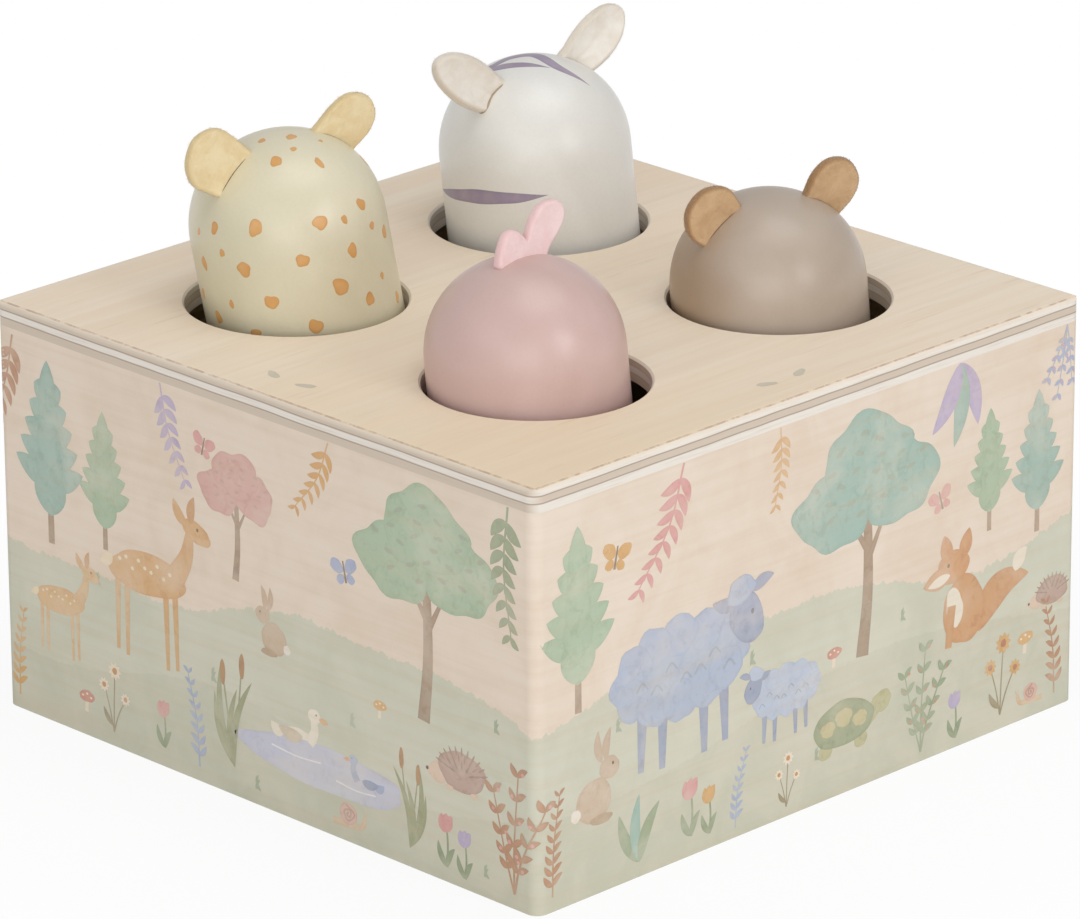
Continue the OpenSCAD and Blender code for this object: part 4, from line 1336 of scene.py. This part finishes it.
def duck(p, tint="f0e6d6", wing="d9c9b4", beak="dda45c"):
    """Swimming: a boat-shaped body, a curved neck, a head and a beak."""
    p.blob(0, 0.2, 0.86, 0.42, tint, 6, 0.94, 0.03, 40)
    p.leaf(-0.3, 0.22, 0.3, 0.2, 150, tint)
    p.stroke([(0.26, 0.24), (0.38, 0.45), (0.36, 0.66)], 0.2, tint, 0.4)
    p.blob(0.38, 0.70, 0.27, 0.23, tint, 0, 0.95, 0.03)
    p.leaf(0.48, 0.68, 0.2, 0.09, -6, beak, 0.95, 0.0)
    p.leaf(0.12, 0.30, 0.52, 0.22, 176, wing)
    p.eye(0.42, 0.73, 0.035, 0.035, "5f4a3a")


def pond(p, tint="c9cbe0"):
    """A flat pale pool with two ripples."""
    p.blob(0, 0, 1.0, 0.2, tint, 0, 0.85, 0.05, 60)
    for x, y, w in ((-0.16, 0.02, 0.3), (0.2, -0.03, 0.24)):
        p.stroke([(x - w / 2, y), (x, y - 0.01), (x + w / 2, y)], 0.008, "eeeef4", 0.2)


def tortoise(p, flesh="bdb88d", shell="9fa787"):
    """A domed shell with three plates, a head, a tail and two feet."""
    p.blob(0.62, 0.42, 0.34, 0.26, flesh, 12, 0.92)
    p.stroke([(0.35, 0.2), (0.6, 0.4)], 0.15, flesh, 0.1, count=8)
    for x in (-0.3, 0.28):
        p.blob(x, 0.06, 0.22, 0.2, flesh)
    p.blob(0, 0.33, 1.0, 0.56, shell, 0, 0.94, 0.03, 48)
    for x, y, w in ((-0.26, 0.32, 0.24), (0.0, 0.4, 0.28), (0.27, 0.32, 0.24)):
        p.blob(x, y, w, w * 0.8, "c7bb8d", 0, 0.85, 0.08)


def rabbit(p, tint="c7ab90", dark="b99c80"):
    """A body, a head, two long ears, a foot and a light tail."""
    p.blob(0, 0.42, 0.78, 0.74, tint, 20, 0.92, 0.03, 48)
    p.blob(0.34, 0.9, 0.44, 0.38, tint, 0, 0.94, 0.03)
    for x, angle in ((0.18, 98), (0.28, 80)):
        p.leaf(x, 1.02, 0.56, 0.17, angle, tint, 0.94)
    p.blob(0.16, 0.08, 0.5, 0.17, dark)
    p.blob(-0.4, 0.28, 0.22, 0.22, "f1e7da")
    p.eye(0.42, 0.95, 0.05, 0.06, "6e5541")


def snail(p, tint="d9bd9c", shell="d9a79a", line="b37f72"):
    """A foot, a round shell with a spiral, and two feelers."""
    p.stroke([(-0.7, 0.08), (0, 0.1), (0.6, 0.16), (0.78, 0.5)], 0.24, tint, 0.2)
    p.blob(0, 0.46, 0.8, 0.76, shell, 0, 0.92, 0.03)
    t = np.linspace(0.3, 2.3 * 2 * np.pi, 9)
    spiral = np.stack([0.022 * t * np.cos(t), 0.46 + 0.022 * t * np.sin(t)], 1)
    p.stroke(spiral, 0.07, line, 0.2, 0.85, 48)
    for x in (0.72, 0.9):
        p.stroke([(0.76, 0.46), (x, 0.74)], 0.05, tint, 0.1, count=4)


print("motifs ready")

# %% [markdown]
# Now each wall gets its own arrangement, as a list of motifs with their place
# along the wall, height, size, and where needed a mirror and a turn. Tall ones
# come first, because later ones are painted over them. Sprigs that are turned
# upside down hang in from the upper edge.

# %% Arrange the meadow
SAGE, TEAL, ROSE, PINK = "a6c0a4", "98bbb0", "d9aaa2", "dd9c9b"
OCHRE, RUST, BLUE, LILAC, MOSS = "d9a458", "b9805c", "a3b2d2", "b9abcf", "93a583"
ARRANGEMENT = {
    "front": [
        (fir, (-60, 38, 36), TEAL), (fir, (-44, 41, 27), SAGE), (oak, (46, 31, 46), SAGE),
        (oak, (-6, 45, 26), ROSE, "c08a86"),
        (sprig, (-70, 79, 23, 1, 172), RUST, 0.3, 7, 0.24, 0.09),
        (sprig, (-27, 80, 19, 1, 188), LILAC, -0.2, 6, 0.24, 0.1),
        (sprig, (20, 80, 17, 1, 165), OCHRE, 0.3, 6, 0.24, 0.09),
        (sprig, (68, 80, 25, -1, 170), MOSS, 0.2, 7, 0.22, 0.1), (doe, (-32, 21, 33)),
        (doe, (-58, 15, 21), "dfb888"), (pond, (17, 13, 46)), (duck, (10, 14, 13)),
        (duck, (29, 11, 9, -1), BLUE, "8c9cc0"), (reeds, (-8, 6, 22)), (reeds, (41, 4, 18, -1)),
        (hedgehog, (54, 19, 15, -1)), (rabbit, (4, 32, 9, -1)),
        (thicket, (69, 3, 24), RUST, PINK), (sprig, (-71, 3, 18), OCHRE, 0.1),
        (sprig, (-18, 3, 19, -1), BLUE, 0.15), (daisy, (-43, 3, 13), "f1e3cf"),
        (tulip, (51, 3, 11), PINK), (tulip, (56, 2, 10), LILAC), (tulip, (-28, 4, 10), PINK),
        (toadstool, (-51, 5, 5), "cf8d7c"), (toadstool, (33, 28, 4), OCHRE),
        (butterfly, (24, 55, 4.6, 1, 12), BLUE), (butterfly, (-15, 70, 4.0, 1, -14), PINK),
        (tuft, (-14, 22, 3.4)), (tuft, (25, 24, 3.2)), (tuft, (64, 34, 3.2)),
        (tuft, (-47, 33, 3)), (tuft, (-2, 3, 3.4)), (tuft, (61, 4, 3)), (snail, (24, 3, 6)),
    ],
    "right": [
        (oak, (14, 27, 49), TEAL, "78a08f"), (fir, (-64, 38, 35), SAGE),
        (fir, (63, 39, 28), TEAL), (fir, (49, 43, 24), SAGE),
        (sprig, (-36, 80, 24, 1, 168), PINK, 0.3, 7, 0.24, 0.09),
        (sprig, (-10, 80, 15, 1, 186), OCHRE, 0.2, 6, 0.24, 0.09),
        (fan, (40, 80, 17, 1, 175), (LILAC, TEAL, LILAC), 1.0, 0.26),
        (thicket, (71, 80, 14, 1, 172), BLUE, PINK), (sheep, (-37, 21, 39)),
        (sheep, (-8, 17, 20, -1), "bcc7dc"), (fox, (42, 21, 27, -1)), (tortoise, (8, 9, 17)),
        (rabbit, (-60, 14, 12), "cdb49d"), (hedgehog, (67, 22, 11, -1)),
        (thicket, (30, 2, 21), MOSS, "c98a6c"), (sprig, (-71, 3, 20), RUST, 0.1, 8),
        (sprig, (69, 3, 20, -1), RUST, 0.15), (sprig, (-22, 2, 15), BLUE, 0.2),
        (fan, (-48, 3, 14), (MOSS, TEAL, MOSS), 1.0, 0.2), (daisy, (53, 3, 15), OCHRE, "b5724f"),
        (daisy, (-8, 2, 10), "f1e3cf"), (tulip, (-34, 4, 12), PINK), (tulip, (-29, 3, 10), OCHRE),
        (tulip, (40, 2, 10), LILAC), (toadstool, (5, 27, 4.5), "cf8d7c"),
        (toadstool, (60, 14, 5), OCHRE), (butterfly, (-54, 66, 4.8, 1, -12), OCHRE),
        (butterfly, (35, 53, 4.2, 1, 16), PINK), (tuft, (-18, 34, 3.4)), (tuft, (24, 31, 3)),
        (tuft, (-54, 31, 3.2)), (tuft, (0, 9, 3)), (snail, (62, 3, 5, -1)),
    ],
    "back": [
        (oak, (44, 30, 46), TEAL, "78a08f"), (fir, (-58, 38, 36), SAGE),
        (fir, (-40, 41, 27), TEAL), (sprig, (-16, 80, 22, 1, 172), RUST, 0.3, 7, 0.24, 0.09),
        (sprig, (14, 80, 16, 1, 186), LILAC, 0.2, 6, 0.24, 0.1), (sheep, (-24, 18, 32, -1)),
        (fox, (14, 18, 27)), (rabbit, (-62, 14, 12)), (tortoise, (52, 10, 18, -1)),
        (thicket, (68, 3, 24), MOSS, PINK), (sprig, (-70, 3, 22), RUST, 0.15),
        (daisy, (30, 4, 13), "f1e3cf"), (tulip, (-8, 4, 11), PINK), (tulip, (-46, 4, 11), OCHRE),
        (toadstool, (2, 6, 5), "cf8d7c"), (butterfly, (8, 58, 4.6, 1, 12), BLUE),
        (tuft, (-8, 32, 3.4)), (tuft, (30, 30, 3.2)), (tuft, (-34, 8, 3)),
    ],
    "left": [
        (oak, (-42, 31, 44), SAGE), (fir, (58, 39, 34), TEAL),
        (oak, (22, 42, 28), ROSE, "c08a86"),
        (sprig, (-2, 80, 22, 1, 172), MOSS, 0.3, 7, 0.24, 0.09),
        (sprig, (42, 80, 18, 1, 190), PINK, 0.2, 6, 0.24, 0.09), (doe, (2, 18, 32, -1)),
        (pond, (44, 12, 42)), (duck, (40, 13, 12, -1)), (duck, (54, 11, 9), BLUE, "8c9cc0"),
        (hedgehog, (-58, 13, 17)), (reeds, (26, 6, 20)), (snail, (-20, 6, 8)),
        (thicket, (-38, 3, 22), RUST, PINK), (sprig, (70, 3, 22, -1), OCHRE, 0.15),
        (daisy, (-8, 3, 12), OCHRE), (tulip, (-70, 4, 11), PINK),
        (toadstool, (-26, 26, 5), OCHRE), (butterfly, (-12, 62, 4.4, 1, -10), PINK),
        (tuft, (-22, 33, 3.2)), (tuft, (12, 8, 3.2)), (tuft, (38, 34, 3)),
    ],
}
for wall, motifs in ARRANGEMENT.items():
    wall_print = Print(wall)
    for motif, where, *rest in motifs:
        wall_print.begin(*where)
        motif(wall_print, *rest)
    make(f"print_{wall}", wall_print.skins, printed, "box")

# %% Faint marks on the top panel
def top_mark(x, y, long, turn):
    """A small leaf-like dab."""
    top_print.blob(x, y, long, 1.9, "9fa598", turn, 0.55, 0.08, 20)


top_print = Print("top")
top_print.begin(0, 0, 1)
# Eight in a ring round the middle, and a pair at the middle of each edge.
for turn in np.arange(22.5, 360, 45):
    c, s = cos_sin(turn)
    top_mark(7.5 * c, 7.5 * s, 4.2, turn)
for x, y, turn in ((0, -66, 0), (0, 66, 180), (66, 0, 90), (-66, 0, 270)):
    c, s = cos_sin(turn)
    for way in (-1, 1):
        top_mark(x + 4.5 * way * c, y + 4.5 * way * s, 4.4, turn + 24 * way)
make("print_top", top_print.skins, plywood, "box")

# %% [markdown]
# ## Floor and light
#
# The toy was photographed on seamless white. A softbox to the right, a little
# above, makes the soft glow on each head, another one hangs overhead, and two
# broad, weaker fills stand to the left and in front. The floor and the world are
# plain white to the camera, while they light the toy only gently. Close to the
# toy the floor is partly plain paper, so that it can carry a soft shadow.

# %% White floor
def seen_directly(f):
    """1 for the camera's rays, also after something clear; and the same for
    mirrored rays."""
    rays = f.put("ShaderNodeLightPath").outputs
    direct = f.calc("MAXIMUM", rays["Is Camera Ray"], rays["Is Transmission Ray"])
    return direct, rays["Is Glossy Ray"]


def floor_finish():
    f = Finish("white_floor")
    white = f.calc("MAXIMUM", *seen_directly(f))
    white = f.times(white, f.step(f.outward(), 0.075, 0.22, 0.9, 1.0))
    paper = f.put("ShaderNodeBsdfDiffuse", Color=(0.86, 0.86, 0.86, 1))
    glow = f.put("ShaderNodeEmission", Color=(1, 1, 1, 1), Strength=1.0)
    return f.end(f.put("ShaderNodeMixShader", None, (white, paper.outputs[0], glow.outputs[0])))


REACH = 6.0  # metres from the middle of the floor to its edges
sheet = bpy.data.meshes.new("floor")
sheet.from_pydata([(x * REACH, y * REACH, 0) for x, y in ((-1, -1), (1, -1), (1, 1), (-1, 1))],
                  [], [(0, 1, 2, 3)])
sheet.materials.append(floor_finish())
floor = bpy.data.objects.new("floor", sheet)
bpy.context.scene.collection.objects.link(floor)

# %% Softboxes and room light
def softbox(name, towards, distance, size, power, colour=(1, 1, 1)):
    """A rectangular lamp that looks at the toy's top from a direction."""
    lamp = bpy.data.lights.new(name, "AREA")
    lamp.shape, lamp.size, lamp.size_y = "RECTANGLE", *size
    lamp.energy, lamp.color = power, colour
    way = unit(towards)
    stand(bpy.data.objects.new(name, lamp), way, unit(np.cross([0, 0, 1], way)),
          way * distance + (0, 0, 0.09))
    print(f"{name}: {size[0]} by {size[1]} m, {power} W")


softbox("right_softbox", (0.95, 0.05, 0.38), 1.5, (0.5, 0.6), 4.3, (0.98, 0.99, 1.0))
softbox("top_softbox", (0.18, 0.08, 0.98), 1.5, (1.0, 1.0), 6.3)
softbox("left_fill", (0.10, -0.85, 0.50), 1.7, (1.0, 0.8), 2.0)
softbox("front_fill", (0.65, -0.75, 0.22), 2.2, (1.6, 1.1), 12.0)

f = Finish("studio", "worlds")
direct, mirrored = seen_directly(f)
room = f.put("ShaderNodeBackground", Color=(0.985, 0.99, 1, 1), Strength=0.45)
white = f.put("ShaderNodeBackground", Color=(1, 1, 1, 1), Strength=1.0)
share = f.calc("MULTIPLY_ADD", mirrored, 0.35, direct)
bpy.context.scene.world = f.end(
    f.put("ShaderNodeMixShader", None, (share, room.outputs[0], white.outputs[0])))
bpy.context.scene.view_settings.view_transform = "Standard"
